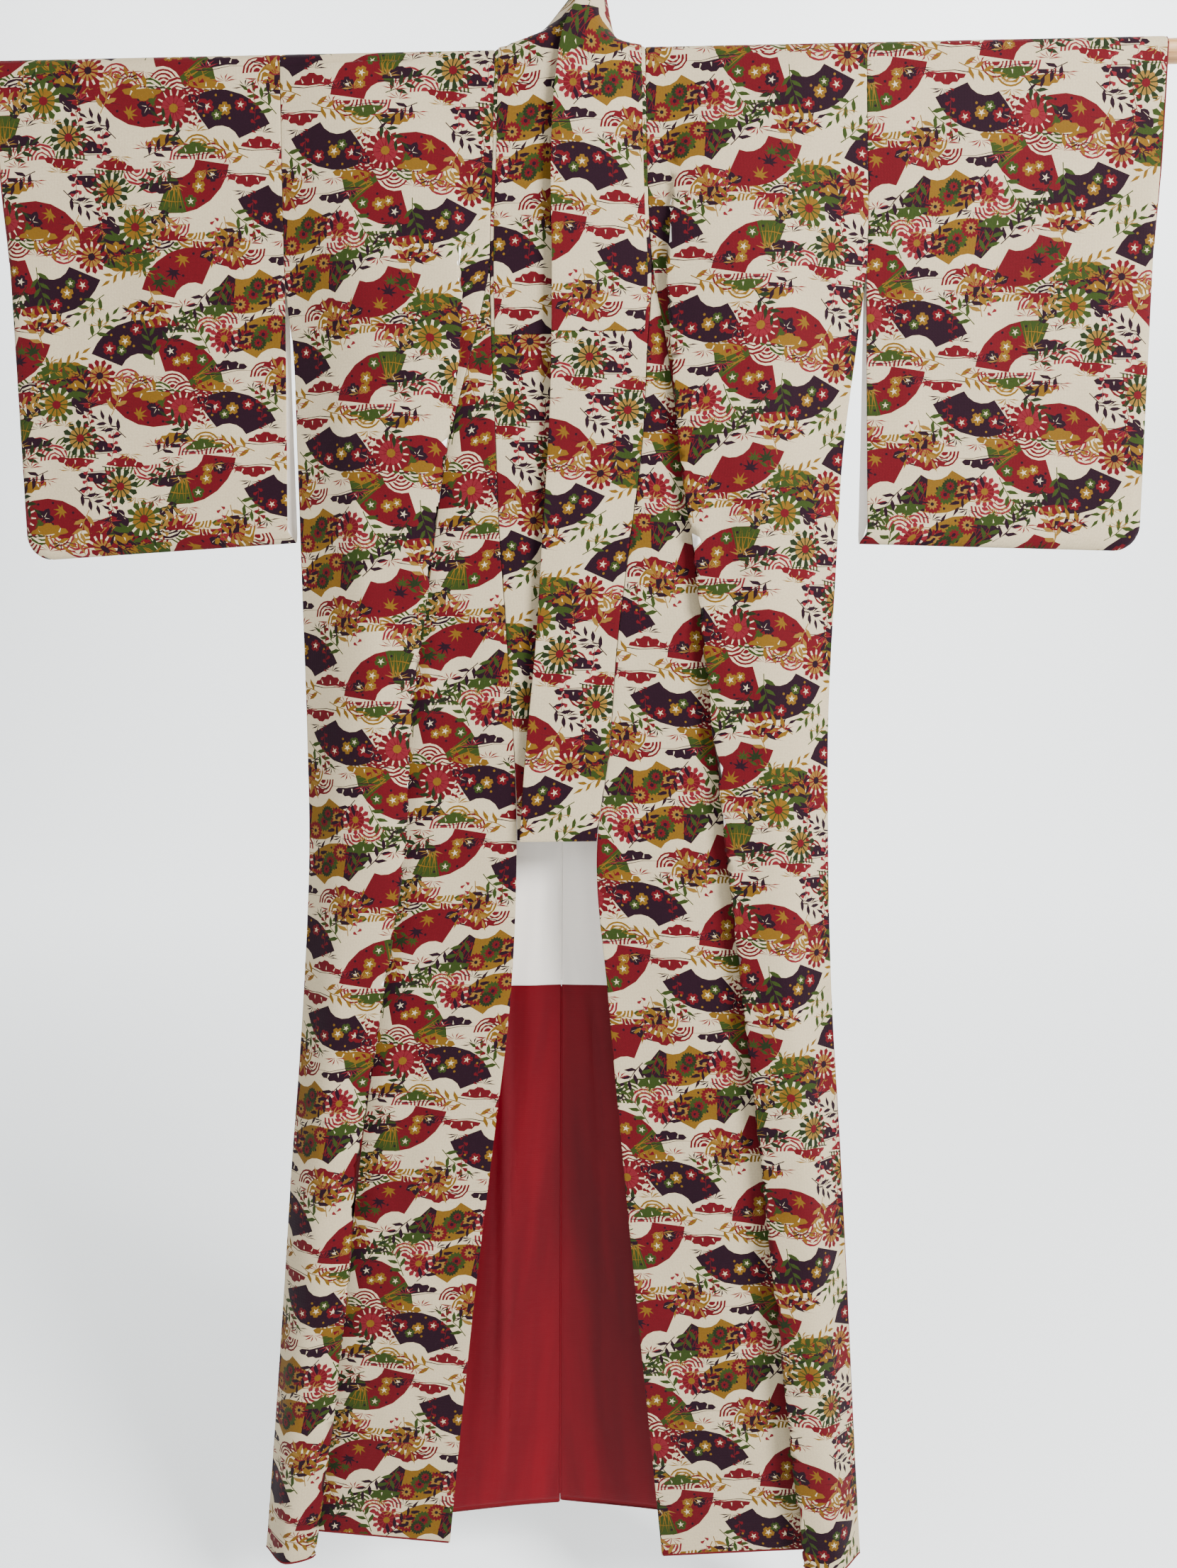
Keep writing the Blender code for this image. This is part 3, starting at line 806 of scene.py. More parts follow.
    def chrysanthemum(self, spot: Spot, petals: Dye, inner: Dye, heart: Dye, count: int = 14) -> None:
        """Adds a double chrysanthemum: two rounds of petals with pale gaps, about 42 mm across.

        Args:
            spot: Its place.
            petals: The outer petals' dye.
            inner: The inner petals' dye.
            heart: The heart's dye.
            count: How many petals a round has.
        """
        for reach, root, wide, dye, shift in ((21.0, 9.0, 3.4, petals, 0.0), (13.4, 4.5, 2.4, inner, 0.5)):
            self.paint(spot, ring(reach * 0.86, count * 2), Dye.GROUND if dye is petals else petals)
            for k in range(count):
                petal = spot.on(0, 0, 360 * (k + shift) / count)
                outline = [(root, -wide / 4), (reach * 0.84, -wide), (reach, 0), (reach * 0.84, wide)]
                self.paint(petal, [*outline, (root, wide / 4)], dye)
        self.paint(spot, ring(4.6, 8), heart)

    def small_chrysanthemum(self, spot: Spot, petals: Dye, heart: Dye, centre: Dye) -> None:
        """Adds a chrysanthemum of pointed petals round a lighter heart, 27 mm across.

        Args:
            spot: Its place.
            petals: The petals' dye.
            heart: The heart's dye.
            centre: The dye of the dot in it.
        """
        turns = np.radians(np.linspace(0, 360, 32, endpoint=False))
        reach = np.where(np.arange(32) % 2 == 0, 13.5, 10.6)
        self.paint(spot, np.stack([reach * np.cos(turns), reach * np.sin(turns)], axis=1), petals)
        turns = np.radians(np.linspace(0, 360, 20, endpoint=False))
        reach = np.where(np.arange(20) % 2 == 0, 8.2, 5.0)
        self.paint(spot, np.stack([reach * np.cos(turns), reach * np.sin(turns)], axis=1), heart)
        self.paint(spot, ring(2.6, 6), centre)

    def cloud_pine(self, spot: Spot, dye: Dye) -> None:
        """Adds a pine cloud: a scalloped cushion over a thin branch, about 36 mm wide.

        Args:
            spot: Its place.
            dye: The cushion's dye.
        """
        outline = [(-17.5, 0.5), (-16, 3.6), (-12.5, 4.2), (-10.5, 7.2), (-6.5, 7.2), (-3.8, 9.6), (1, 9.4)]
        outline += [(3.6, 7.4), (8, 7.6), (10.6, 4.6), (14.6, 4.4), (17.2, 1.2), (14, -0.8), (6, 0.2)]
        outline += [(-4, -0.9), (-12, 0.2)]
        self.paint(spot, outline, dye)
        for x, lean in ((-9, -1.6), (0, 0.0), (8.6, 1.6)) if self.fine else ():
            self.stroke(spot, [(x, 1.4), (x + lean, 5.2)], 1.5, Dye.GROUND)
        self.stroke(spot, [(-21, -1.0), (-8, -2.4), (8, -1.0), (22, -2.8)], 0.9, Dye.PLUM)

    def spray(self, spot: Spot, dye: Dye, pairs: int = 4) -> None:
        """Adds a spray of lance leaves along a bent stem, about 45 mm long.

        Args:
            spot: Its place.
            dye: Its dye.
            pairs: How many pairs of leaves it has.
        """
        reach = 8.5 * pairs + 8
        self.stroke(spot, [(0, 0), (1.5, reach * 0.35), (0.5, reach * 0.7), (-2, reach)], 0.9, dye)
        for k in range(pairs * 2):
            side = 1 if k % 2 else -1
            leaf = spot.on(0.8, 5 + 4.4 * k, side * (-52 + 2.5 * k), 1.0 - 0.03 * k)
            shape = [(0, 0), (2.1, 4.2), (1.6, 8.6), (0, 12.5), (-1.9, 8.2), (-1.8, 4.0)]
            self.paint(leaf, shape, dye)
        self.paint(spot.on(-1.6, reach - 2, 6), [(0, 0), (1.5, 4), (0, 11), (-1.5, 4)], dye)

    def strand(self, spot: Spot, dye: Dye, pairs: int = 6) -> None:
        """Adds a hanging strand with pairs of small bell leaves, about 60 mm long.

        Args:
            spot: Its place.
            dye: Its dye.
            pairs: How many pairs of leaves it has.
        """
        length = 9.5 * pairs
        self.stroke(spot, [(0, 0), (1.6, -length * 0.4), (-1.0, -length * 0.75), (0.6, -length)], 0.7, dye)
        for k in range(pairs):
            for side in (-1, 1):
                leaf = spot.on(0.3, -6 - 9.2 * k - 1.5 * side, side * 58, 1.0 - 0.05 * k)
                self.paint(leaf, [(0, -0.6), (0.6, 2.4), (2.3, 5.4), (0, 6.6), (-2.3, 5.0)], dye)

    def needles(self, spot: Spot, dye: Dye) -> None:
        """Adds a tuft of pine needles spread low on both sides, about 22 mm wide.

        Args:
            spot: Its place.
            dye: Its dye.
        """
        count = 6
        for k in range(count):
            turn = radians(12 + 156 * k / (count - 1))
            tip = (11.5 * cos(turn), 6.8 * sin(turn))
            side = (-0.9 * sin(turn), 0.9 * cos(turn))
            middle = (tip[0] * 0.55 + side[0], tip[1] * 0.62 + side[1])
            self.paint(spot, [(-side[0] * 0.6, -side[1] * 0.6), tip, middle], dye)

    def leaf_trio(self, spot: Spot, dye: Dye) -> None:
        """Adds three broad leaves with pale ribs.

        Args:
            spot: Its place.
            dye: Their dye.
        """
        for turn in (-70, 0, 70):
            leaf = spot.on(0, 0, turn)
            shape = [(0, 0), (3.6, 2.6), (4.6, 6.4), (3.0, 10), (0, 12.6), (-3.2, 10), (-4.6, 6), (-3.4, 2.6)]
            self.paint(leaf, shape, dye)
            self.stroke(leaf, [(0, 1.5), (0.3, 9.5)], 0.8, Dye.GROUND)

    def fan(self, spot: Spot, paper: FanPaper) -> None:
        """Adds a fan paper: a sector of a ring with flowers, and a lattice band at one end.

        Args:
            spot: The middle of the paper, with its rim towards +y.
            paper: What is painted on it.
        """
        ground, flowers, band = paper.value
        pivot = spot.on(0, -46)
        outline = np.concatenate([ring(64, 13, 39, 141), ring(24, 6, 141, 39)])
        self.paint(pivot, outline, ground)
        if band:
            fill, line = band
            piece = np.concatenate([ring(63.6, 6, 39.3, 70), ring(24.4, 4, 62, 39.3)])
            self.paint(pivot, piece, fill)
            for turn in (44, 52, 60):
                cut = radians(turn)
                ends = [(30 * cos(cut), 30 * sin(cut)), (62 * cos(cut + 0.12), 62 * sin(cut + 0.12))]
                self.stroke(pivot, ends, 1.3, line)
                ends = [(31 * cos(cut + 0.1), 31 * sin(cut + 0.1)), (62 * cos(cut), 62 * sin(cut))]
                self.stroke(pivot, ends, 1.3, line)
            for reach in (37, 51):
                self.stroke(pivot, ring(reach, 4, 41, 68), 1.4, line)
        places = ((48, 124, 1.0), (43, 98, 0.95), (53, 78, 0.9), (36, 112, 0.75))
        for (reach, turn, size), dye in zip(places, flowers):
            cut = radians(turn)
            flower = pivot.on(reach * cos(cut), reach * sin(cut), turn + reach, size)
            if paper is FanPaper.MAPLE:
                self.maple(flower, dye)
            elif paper in (FanPaper.NIGHT_BLOSSOM, FanPaper.DAY_BLOSSOM):
                self.blossom(flower.on(0, 0, 0, 1.1), dye, Dye.GROUND)
            else:
                other = Dye.GOLD if dye in (Dye.RED, Dye.GREEN) and ground is not Dye.GOLD else Dye.STRAW
                heart = Dye.RED if dye is not Dye.RED else other
                self.small_chrysanthemum(flower, dye, heart, Dye.PLUM)
        for reach, turn in ((58, 110), (34, 86), (57, 64), (40, 134), (59, 92)):
            cut = radians(turn)
            bud = pivot.on(reach * cos(cut), reach * sin(cut), turn)
            self.paint(bud, ring(1.7, 5), Dye.PLUM if ground is not Dye.PLUM else Dye.GOLD)

    def chart(self) -> None:
        """Places the motifs of one half, waves first and needles last, and notes each layer's end."""
        red, rose, plum, green, leaf = Dye.RED, Dye.ROSE, Dye.PLUM, Dye.GREEN, Dye.LEAF
        gold, straw = Dye.GOLD, Dye.STRAW
        marks = [0]
        start = len(self.shapes)

        def layer() -> None:
            """Notes where a layer ends."""
            marks.append(len(self.shapes) - start)

        banks = (
            (84, 62, ((0, 18, 2), (-16, 9, 3), (0, 0, 2)), (red, gold, green)),
            (268, 64, ((0, 18, 3), (-16, 9, 4), (0, 0, 3)), (green, red, rose, gold, plum)),
            (186, 82, ((0, 9, 2), (16, 0, 2)), (red, plum, gold)),
            (2, 78, ((0, 9, 2), (-16, 0, 3)), (gold, rose, red)),
            (292, 6, ((0, 9, 3), (16, 0, 2)), (rose, green, red)),
            (110, 142, ((0, 9, 2), (-16, 0, 2)), (green, rose)),
            (88, 4, ((0, 9, 2), (16, 0, 2)), (red, gold, rose)),
        )
        for x, y, rows, dyes in banks:
            self.wave_bank(Spot(x, y), rows, dyes)
        layer()
        fans = (
            (36, 138, 16, FanPaper.NIGHT_BLOSSOM), (106, 112, -34, FanPaper.DAY_BLOSSOM),
            (190, 142, 9, FanPaper.GOLD_FIELD), (268, 108, 204, FanPaper.MAPLE),
            (340, 92, -24, FanPaper.GREEN_FIELD), (56, 54, 168, FanPaper.MAPLE),
            (156, 56, -16, FanPaper.NIGHT_BLOSSOM), (244, 30, 30, FanPaper.DAY_BLOSSOM),
        )
        for x, y, turn, paper in fans:
            self.fan(Spot(x, y, turn, 0.92), paper)
        layer()
        clouds = (
            (72, 148, 4, red), (130, 76, -4, gold), (214, 72, 4, green), (12, 66, -6, red),
            (118, 10, 3, green), (188, 14, -3, red), (284, 20, 5, plum), (346, 82, -4, gold),
            (228, 150, 2, green), (296, 146, -5, red), (146, 98, 6, plum), (60, 76, 178, gold),
            (206, 100, -6, red), (332, 6, 174, red), (84, 18, 2, gold), (4, 12, -3, plum),
            (306, 94, 5, green), (276, 80, 176, red),
        )
        for x, y, turn, dye in clouds:
            self.cloud_pine(Spot(x, y, turn, 1.25), dye)
        layer()
        heads = (
            (94, 56, 8, 1.05, red, rose, gold, 14), (312, 66, 0, 1.05, green, gold, red, 12),
            (208, 86, 20, 0.85, gold, red, plum, 12), (2, 96, 11, 0.88, red, straw, plum, 12),
            (338, 28, 5, 1.0, leaf, straw, red, 12), (142, 134, 0, 0.85, rose, red, gold, 12),
        )
        for x, y, turn, size, petals, inner, heart, count in heads:
            self.chrysanthemum(Spot(x, y, turn, size), petals, inner, heart, count)
        for x, y, turn in ((118, 60, -40), (66, 58, 150), (286, 54, 30), (334, 62, -60), (232, 92, 10)):
            self.leaf_trio(Spot(x, y, turn, 0.95), plum)
        layer()
        sprays = (
            (126, 118, 30, green, 4), (142, 112, -38, plum, 4), (74, 72, 62, gold, 3),
            (214, 56, 16, straw, 4), (274, 46, -34, leaf, 4), (352, 50, 12, plum, 4),
            (14, 52, -20, straw, 3), (104, 20, 42, leaf, 3), (192, 66, -52, plum, 3),
            (300, 98, -64, gold, 4), (232, 132, -40, plum, 3), (64, 106, 10, green, 3),
            (330, 86, 52, green, 4), (174, 4, 72, gold, 3), (266, 4, -62, leaf, 3), (60, 6, -60, plum, 3),
            (300, 128, 24, straw, 3), (76, 126, -28, leaf, 3), (350, 136, -50, green, 3),
            (216, 62, -20, gold, 3), (206, 48, 48, green, 3), (288, 148, -75, plum, 3),
            (256, 64, -82, straw, 3), (30, 26, 52, plum, 3), (212, 120, -24, green, 3),
            (330, 148, 66, gold, 3),
        )
        for x, y, turn, dye, pairs in sprays:
            self.spray(Spot(x, y, turn, 1.2), dye, pairs)
        strands = (
            (110, 88, 6, red), (122, 86, -4, red), (222, 106, 3, rose), (292, 100, -8, straw),
            (346, 58, 10, red), (180, 78, 4, red), (16, 34, -6, rose),
        )
        for x, y, turn, dye in strands:
            self.strand(Spot(x, y, turn, 1.1), dye, 5)
        layer()
        tufts = (
            (128, 24, straw), (150, 82, rose), (190, 30, plum), (206, 12, rose), (64, 94, rose),
            (232, 8, straw), (276, 8, rose), (292, 40, plum), (34, 8, straw), (62, 16, rose),
            (46, 86, plum), (130, 96, rose), (148, 146, straw), (160, 154, plum), (214, 88, rose),
            (248, 78, straw), (30, 96, rose), (84, 132, plum), (352, 66, rose), (320, 42, straw),
            (262, 150, rose), (4, 150, straw), (172, 76, plum), (118, 32, straw), (186, 84, rose),
            (214, 8, plum), (306, 112, straw), (94, 144, plum), (152, 6, rose), (128, 152, straw),
            (268, 22, straw), (300, 46, rose), (80, 2, rose), (342, 96, plum), (262, 56, rose),
            (318, 152, rose), (10, 40, plum),
        )
        for k, (x, y, dye) in enumerate(tufts if self.fine else ()):
            self.needles(Spot(x, y, (k * 37) % 24 - 12 + (180 if k % 4 == 0 else 0), 1.3), dye)
        layer()
        self.layers = marks

    def copies(self) -> list[tuple[np.ndarray, int]]:
        """Lists every shape that reaches into the repeat, also from the repeats next to it.

        Returns:
            Each outline with its dye number.
        """
        size = np.array([REPEAT_WIDTH, REPEAT_LENGTH])
        found = []
        for outline, dye in self.shapes:
            for step in np.ndindex(3, 3):
                moved = outline + (np.array(step) - 1) * size
                if (moved.min(axis=0) < size).all() and (moved.max(axis=0) > 0).all():
                    found.append((moved, DYES.index(dye)))
        return found

    def dye_at(self, places: np.ndarray, copies: Sequence[tuple[np.ndarray, int]]) -> np.ndarray:
        """Finds the dye on top at each place.

        Args:
            places: Places on the cloth.
            copies: The shapes in the order in which they are painted.

        Returns:
            The dye numbers.
        """
        order = np.argsort(places[:, 0])
        x, y = places[order].T
        found = np.full(len(places), DYES.index(Dye.GROUND))
        for outline, dye in copies:
            first, last = np.searchsorted(x, (outline[:, 0].min(), outline[:, 0].max()))
            px, py = x[first:last], y[first:last]
            inside = np.zeros(last - first, bool)
            for (ax, ay), (bx, by) in zip(outline, np.roll(outline, -1, axis=0)):
                if ay != by:
                    inside ^= ((ay > py) != (by > py)) & (px < ax + (py - ay) * (bx - ax) / (by - ay))
            found[first:last][inside] = dye
        result = np.empty_like(found)
        result[order] = found
        return result

    def cut(self) -> tuple[np.ndarray, np.ndarray, np.ndarray]:
        """Cuts the repeat into triangles, each of the dye that lies on top there.

        It is cut twice: along every outline, and then only along the lines where two dyes meet, which drops
        what lies hidden.

        Returns:
            Places on the cloth, triangles, and each triangle's dye number.
        """
        copies = self.copies()
        corners = np.array([(0, 0), (REPEAT_WIDTH, 0), (REPEAT_WIDTH, REPEAT_LENGTH), (0, REPEAT_LENGTH)])
        frame = [(0, 1), (1, 2), (2, 3), (3, 0)]
        points, borders = corners.tolist(), list(frame)
        for outline, _ in copies:
            first, count = len(points), len(outline)
            points += outline.tolist()
            borders += [(first + k, first + (k + 1) % count) for k in range(count)]
        uv, tris = self.triangles(points, borders, 0.02)
        dyes = self.dye_at(uv[tris].mean(axis=1), copies)
        edges = np.sort(np.concatenate([tris[:, [0, 1]], tris[:, [1, 2]], tris[:, [2, 0]]]), axis=1)
        owner = np.tile(np.arange(len(tris)), 3)
        order = np.lexsort((edges[:, 1], edges[:, 0]))
        edges, owner = edges[order], owner[order]
        twin = (edges[1:] == edges[:-1]).all(axis=1)
        meeting = twin & (dyes[owner[1:]] != dyes[owner[:-1]])
        lines = self.straightened(uv, edges[1:][meeting], 0.7 if self.fine else 1.3)
        used, where = np.unique(lines, return_inverse=True)
        points = corners.tolist() + np.clip(uv[used], 0, corners[2]).tolist()
        borders = frame + (where.reshape(-1, 2) + 4).tolist()
        posts = (np.arange(0, REPEAT_WIDTH + 1, 15.0), np.arange(0, REPEAT_LENGTH + 1, 16.0))
        across, along = np.meshgrid(*posts)
        points += np.stack([across.ravel(), along.ravel()], axis=1).tolist()
        uv, tris = self.triangles(points, borders, 0.35)
        return uv, tris, self.dye_at(uv[tris].mean(axis=1), copies)

    @staticmethod
    def straightened(uv: np.ndarray, lines: np.ndarray, off: float, longest: float = 18.0) -> np.ndarray:
        """Drops the points of the border lines that lie on a nearly straight run.

        Args:
            uv: Places on the cloth.
            lines: Pairs of points, each a short border line.
            off: How far a dropped point may lie from the line that replaces it, mm.
            longest: The longest line made, mm.

        Returns:
            The lines that stay.
        """
        joined: dict[int, set[int]] = {}
        for a, b in lines.tolist():
            joined.setdefault(a, set()).add(b)
            joined.setdefault(b, set()).add(a)
        for point, ends in list(joined.items()):
            if len(ends) != 2:
                continue
            a, b = ends
            if b in joined[a]:
                continue
            run = uv[b] - uv[a]
            length = float(np.hypot(*run))
            gone = uv[point] - uv[a]
            if length < longest and abs(run[0] * gone[1] - run[1] * gone[0]) < off * length:
                joined[a].remove(point)
                joined[b].remove(point)
                joined[a].add(b)
                joined[b].add(a)
                joined[point] = set()
        return np.array([(a, b) for a, ends in joined.items() for b in ends if a < b])

    @staticmethod
    def triangles(points: Sequence, borders: Sequence, close: float) -> tuple[np.ndarray, np.ndarray]:
        """Joins points into triangles that keep the borders, and drops those outside the repeat.

        Args:
            points: Places on the cloth.
            borders: Pairs of points that stay joined.
            close: Points nearer than this become one.

        Returns:
            Places and triangles.
        """
        verts, _, faces, _, _, _ = delaunay_2d_cdt([Vector(p) for p in points], borders, [], 0, close)
        uv, tris = np.array([(v[0], v[1]) for v in verts]), np.array(faces)
        middles = uv[tris].mean(axis=1)
        kept = ((middles > 0) & (middles < (REPEAT_WIDTH, REPEAT_LENGTH))).all(axis=1)
        return uv, tris[kept]


@dataclass
class Cut:
    """Triangles on the flat cloth, each with a dye."""

    uv: np.ndarray
    tris: np.ndarray
    dyes: np.ndarray

    def split(self, side: np.ndarray) -> None:
        """Splits the triangles along the line where a signed distance is zero.

        Args:
            side: The signed distance of each point.
        """
        side = np.where(np.abs(side) < 0.02, 0.0, side)
        below = side < 0
        count = below[self.tris].sum(axis=1)
        crossing = (count > 0) & (side[self.tris] > 0).any(axis=1)
        tris, dyes = self.tris[crossing], self.dyes[crossing]
        if not len(tris):
            return
        lone_below = count[crossing] == 1
        lone = np.argmax(np.where(lone_below[:, None], below[tris], ~below[tris]), axis=1)
        order = (lone[:, None] + np.arange(3)) % 3
        a, b, c = np.take_along_axis(tris, order, axis=1).T
        edges = np.sort(np.concatenate([np.stack([a, b], 1), np.stack([a, c], 1)]), axis=1)
        unique, where = np.unique(edges, axis=0, return_inverse=True)
        where = where.reshape(-1)
        d0, d1 = side[unique[:, 0]], side[unique[:, 1]]
        gap = np.where(np.abs(d0 - d1) < 1e-9, 1.0, d0 - d1)
        share = np.clip(d0 / gap, 0, 1)[:, None]
        made = self.uv[unique[:, 0]] * (1 - share) + self.uv[unique[:, 1]] * share
        first = len(self.uv)
        self.uv = np.concatenate([self.uv, made])
        ab, ac = first + where[: len(tris)], first + where[len(tris) :]
        parts = [np.stack(t, 1) for t in ((a, ab, ac), (ab, b, c), (ab, c, ac))]
        self.tris = np.concatenate([self.tris[~crossing], *parts])
        self.dyes = np.concatenate([self.dyes[~crossing], dyes, dyes, dyes])

    def keep(self, wanted: Callable[[np.ndarray], np.ndarray]) -> None:
        """Keeps the triangles whose middle is wanted, and drops those with no area.

        Args:
            wanted: Says of each middle whether its triangle stays.
        """
        corners = self.uv[self.tris]
        a, b = corners[:, 1] - corners[:, 0], corners[:, 2] - corners[:, 0]
        area = np.abs(a[:, 0] * b[:, 1] - a[:, 1] * b[:, 0])
        chosen = wanted(corners.mean(axis=1)) & (area > 1e-4)
        self.tris, self.dyes = self.tris[chosen], self.dyes[chosen]
        used, where = np.unique(self.tris, return_inverse=True)
        self.uv, self.tris = self.uv[used], where.reshape(-1, 3)


def tiled(repeat: Repeat, shift: tuple[float, float], low: Sequence[float], high: Sequence[float]) -> Cut:
    """Prints repeats over an area of flat cloth.

    Args:
        repeat: The print.
        shift: Where a repeat's corner lies.
        low: The area's lowest corner.
        high: The area's highest corner.

    Returns:
        The triangles that touch the area, joined where repeats meet.
    """
    size = np.array([REPEAT_WIDTH, REPEAT_LENGTH])
    first = np.floor((np.array(low) - shift) / size).astype(int)
    last = np.ceil((np.array(high) - shift) / size).astype(int)
    uvs, tris, dyes = [], [], []
    total = 0
    for i in range(first[0], last[0]):
        for j in range(first[1], last[1]):
            moved = repeat.uv + np.array(shift) + size * [i, j]
            corners = moved[repeat.tris]
            near = (corners.max(axis=1) > low).all(axis=1) & (corners.min(axis=1) < high).all(axis=1)
            uvs.append(moved)
            tris.append(repeat.tris[near] + total)
            dyes.append(repeat.dyes[near])
            total += len(moved)
    uv, tri = np.concatenate(uvs), np.concatenate(tris)
    keys = np.round(uv * 50).astype(np.int64)
    code = (keys[:, 0] + 10**7) * 10**9 + keys[:, 1] + 10**7
    _, chosen, where = np.unique(code, return_index=True, return_inverse=True)
    return Cut(uv[chosen], where.reshape(-1)[tri], np.concatenate(dyes))


def plain(steps: tuple[float, float], low: Sequence[float], high: Sequence[float], dye: Callable) -> Cut:
    """Lays plain cloth in oblongs over an area.

    Args:
        steps: The oblongs' width and length.
        low: The area's lowest corner.
        high: The area's highest corner.
        dye: Gives the dye numbers at places on the cloth.

    Returns:
        The triangles.
    """
    across = np.arange(low[0], high[0] + steps[0], steps[0])
    down = np.arange(low[1], high[1] + steps[1], steps[1])
    uv = np.stack(np.meshgrid(across, down), axis=-1).reshape(-1, 2)
    index = np.arange(len(uv)).reshape(len(down), len(across))
    a, b, c, d = index[:-1, :-1], index[:-1, 1:], index[1:, 1:], index[1:, :-1]
    pairs = [np.stack([a, b, c], -1).reshape(-1, 3), np.stack([a, c, d], -1).reshape(-1, 3)]
    tris = np.concatenate(pairs)
    return Cut(uv, tris, dye(uv[tris].mean(axis=1)))


@dataclass
class Panel:
    """A stretch of one cloth between its borders, on its surface.

    Args:
        surface: The surface that it lies on.
        top: Where it starts along the cloth.
        low: Where it ends.
        inset: How far in from the surface's first column it starts.
        trim: How far short of the last column it ends.
        open_top: Whether its top is an edge, and not joined to the next panel.
        open_low: Whether its low end is an edge.
        neck: The width that is left above the back neck line, where there is one.
        lift: How far the cloth lies off the surface on its printed side.
        wall: Its thickness.
    """

    surface: Surface
    top: float
    low: float
    inset: float = 0.0
    trim: float = 0.0
    open_top: bool = True
    open_low: bool = True
    neck: Optional[float] = None
    lift: float = 0.0
    wall: float = WALL

    def borders(self, uv: np.ndarray) -> list[np.ndarray]:
        """Works out how far inside each border that is an edge the cloth lies.

        Args:
            uv: Places on the flat cloth.

        Returns:
            For each border, the distances of all the places.
        """
        u, v = uv[:, 0], uv[:, 1]
        found = [u - self.inset, self.surface.width_at(v) - self.trim - u]
        if self.open_top:
            found.append(v - self.top)
        if self.open_low:
            found.append(self.low - v)
        if self.neck is not None:
            found.append(np.maximum(self.neck - u, v - down(NECK_BACK)))
        return found

    def trimmed(self, cut: Cut) -> Cut:
        """Trims the cloth to its borders, with close lines along them for the rolled edge.

        Args:
            cut: The cloth before it is trimmed.

        Returns:
            The same cloth, trimmed.
        """
        for number in range(len(self.borders(cut.uv))):
            for inside in (0.0, self.wall * EDGE_ROLL, EDGE_HELD):
                cut.split(self.borders(cut.uv)[number] - inside)
            cut.keep(lambda middle, number=number: self.borders(middle)[number] > 0)
        if not self.open_top:
            for place in (0.0, 3.0, 6.0, 9.0, 12.5, 16.0, 20.0, 26.0, 34.0):
                cut.split(cut.uv[:, 1] - self.top - place)
            cut.keep(lambda middle: middle[:, 1] > self.top)
        if not self.open_low:
            cut.split(self.low - cut.uv[:, 1])
            cut.keep(lambda middle: middle[:, 1] < self.low)
        return cut

    def raised(self, uv: np.ndarray, face: int) -> np.ndarray:
        """Places flat cloth in the frame, with its edges rolled in.

        Args:
            uv: Places on the flat cloth.
            face: 1 for the printed face, -1 for the inner one.

        Returns:
            Points in millimetres.
        """
        points, normals = self.surface.read(uv[:, 0], uv[:, 1])
        inside = np.maximum(np.min(self.borders(uv), axis=0), 0.0)
        pucker = 0.25 * np.exp(-((inside / 2.4) ** 2))
        height = self.wall / 2 * rounded(inside / (self.wall * EDGE_ROLL)) - pucker
        height = np.where(inside < 0.01, 0.0, np.maximum(height, 0.0))
        return points + normals * (self.lift + face * height)[:, None]

    def facing(self, uv: np.ndarray, face: int) -> np.ndarray:
        """Works out the cloth's own normals, with its rolled edges.

        Args:
            uv: Places on the flat cloth.
            face: 1 for the printed face, -1 for the inner one.

        Returns:
            Unit normals.
        """
        step = 0.4
        ahead = [self.raised(uv + move, face) for move in ((step, 0.0), (0.0, step))]
        behind = [self.raised(uv - move, face) for move in ((step, 0.0), (0.0, step))]
        normals = np.cross(ahead[0] - behind[0], ahead[1] - behind[1])
        wanted = self.surface.read(uv[:, 0], uv[:, 1])[1] * face
        normals *= np.where((normals * wanted).sum(axis=1) < 0, -1.0, 1.0)[:, None]
        size = np.linalg.norm(normals, axis=1, keepdims=True)
        return np.where(size > 1e-6, normals / np.maximum(size, 1e-9), wanted)


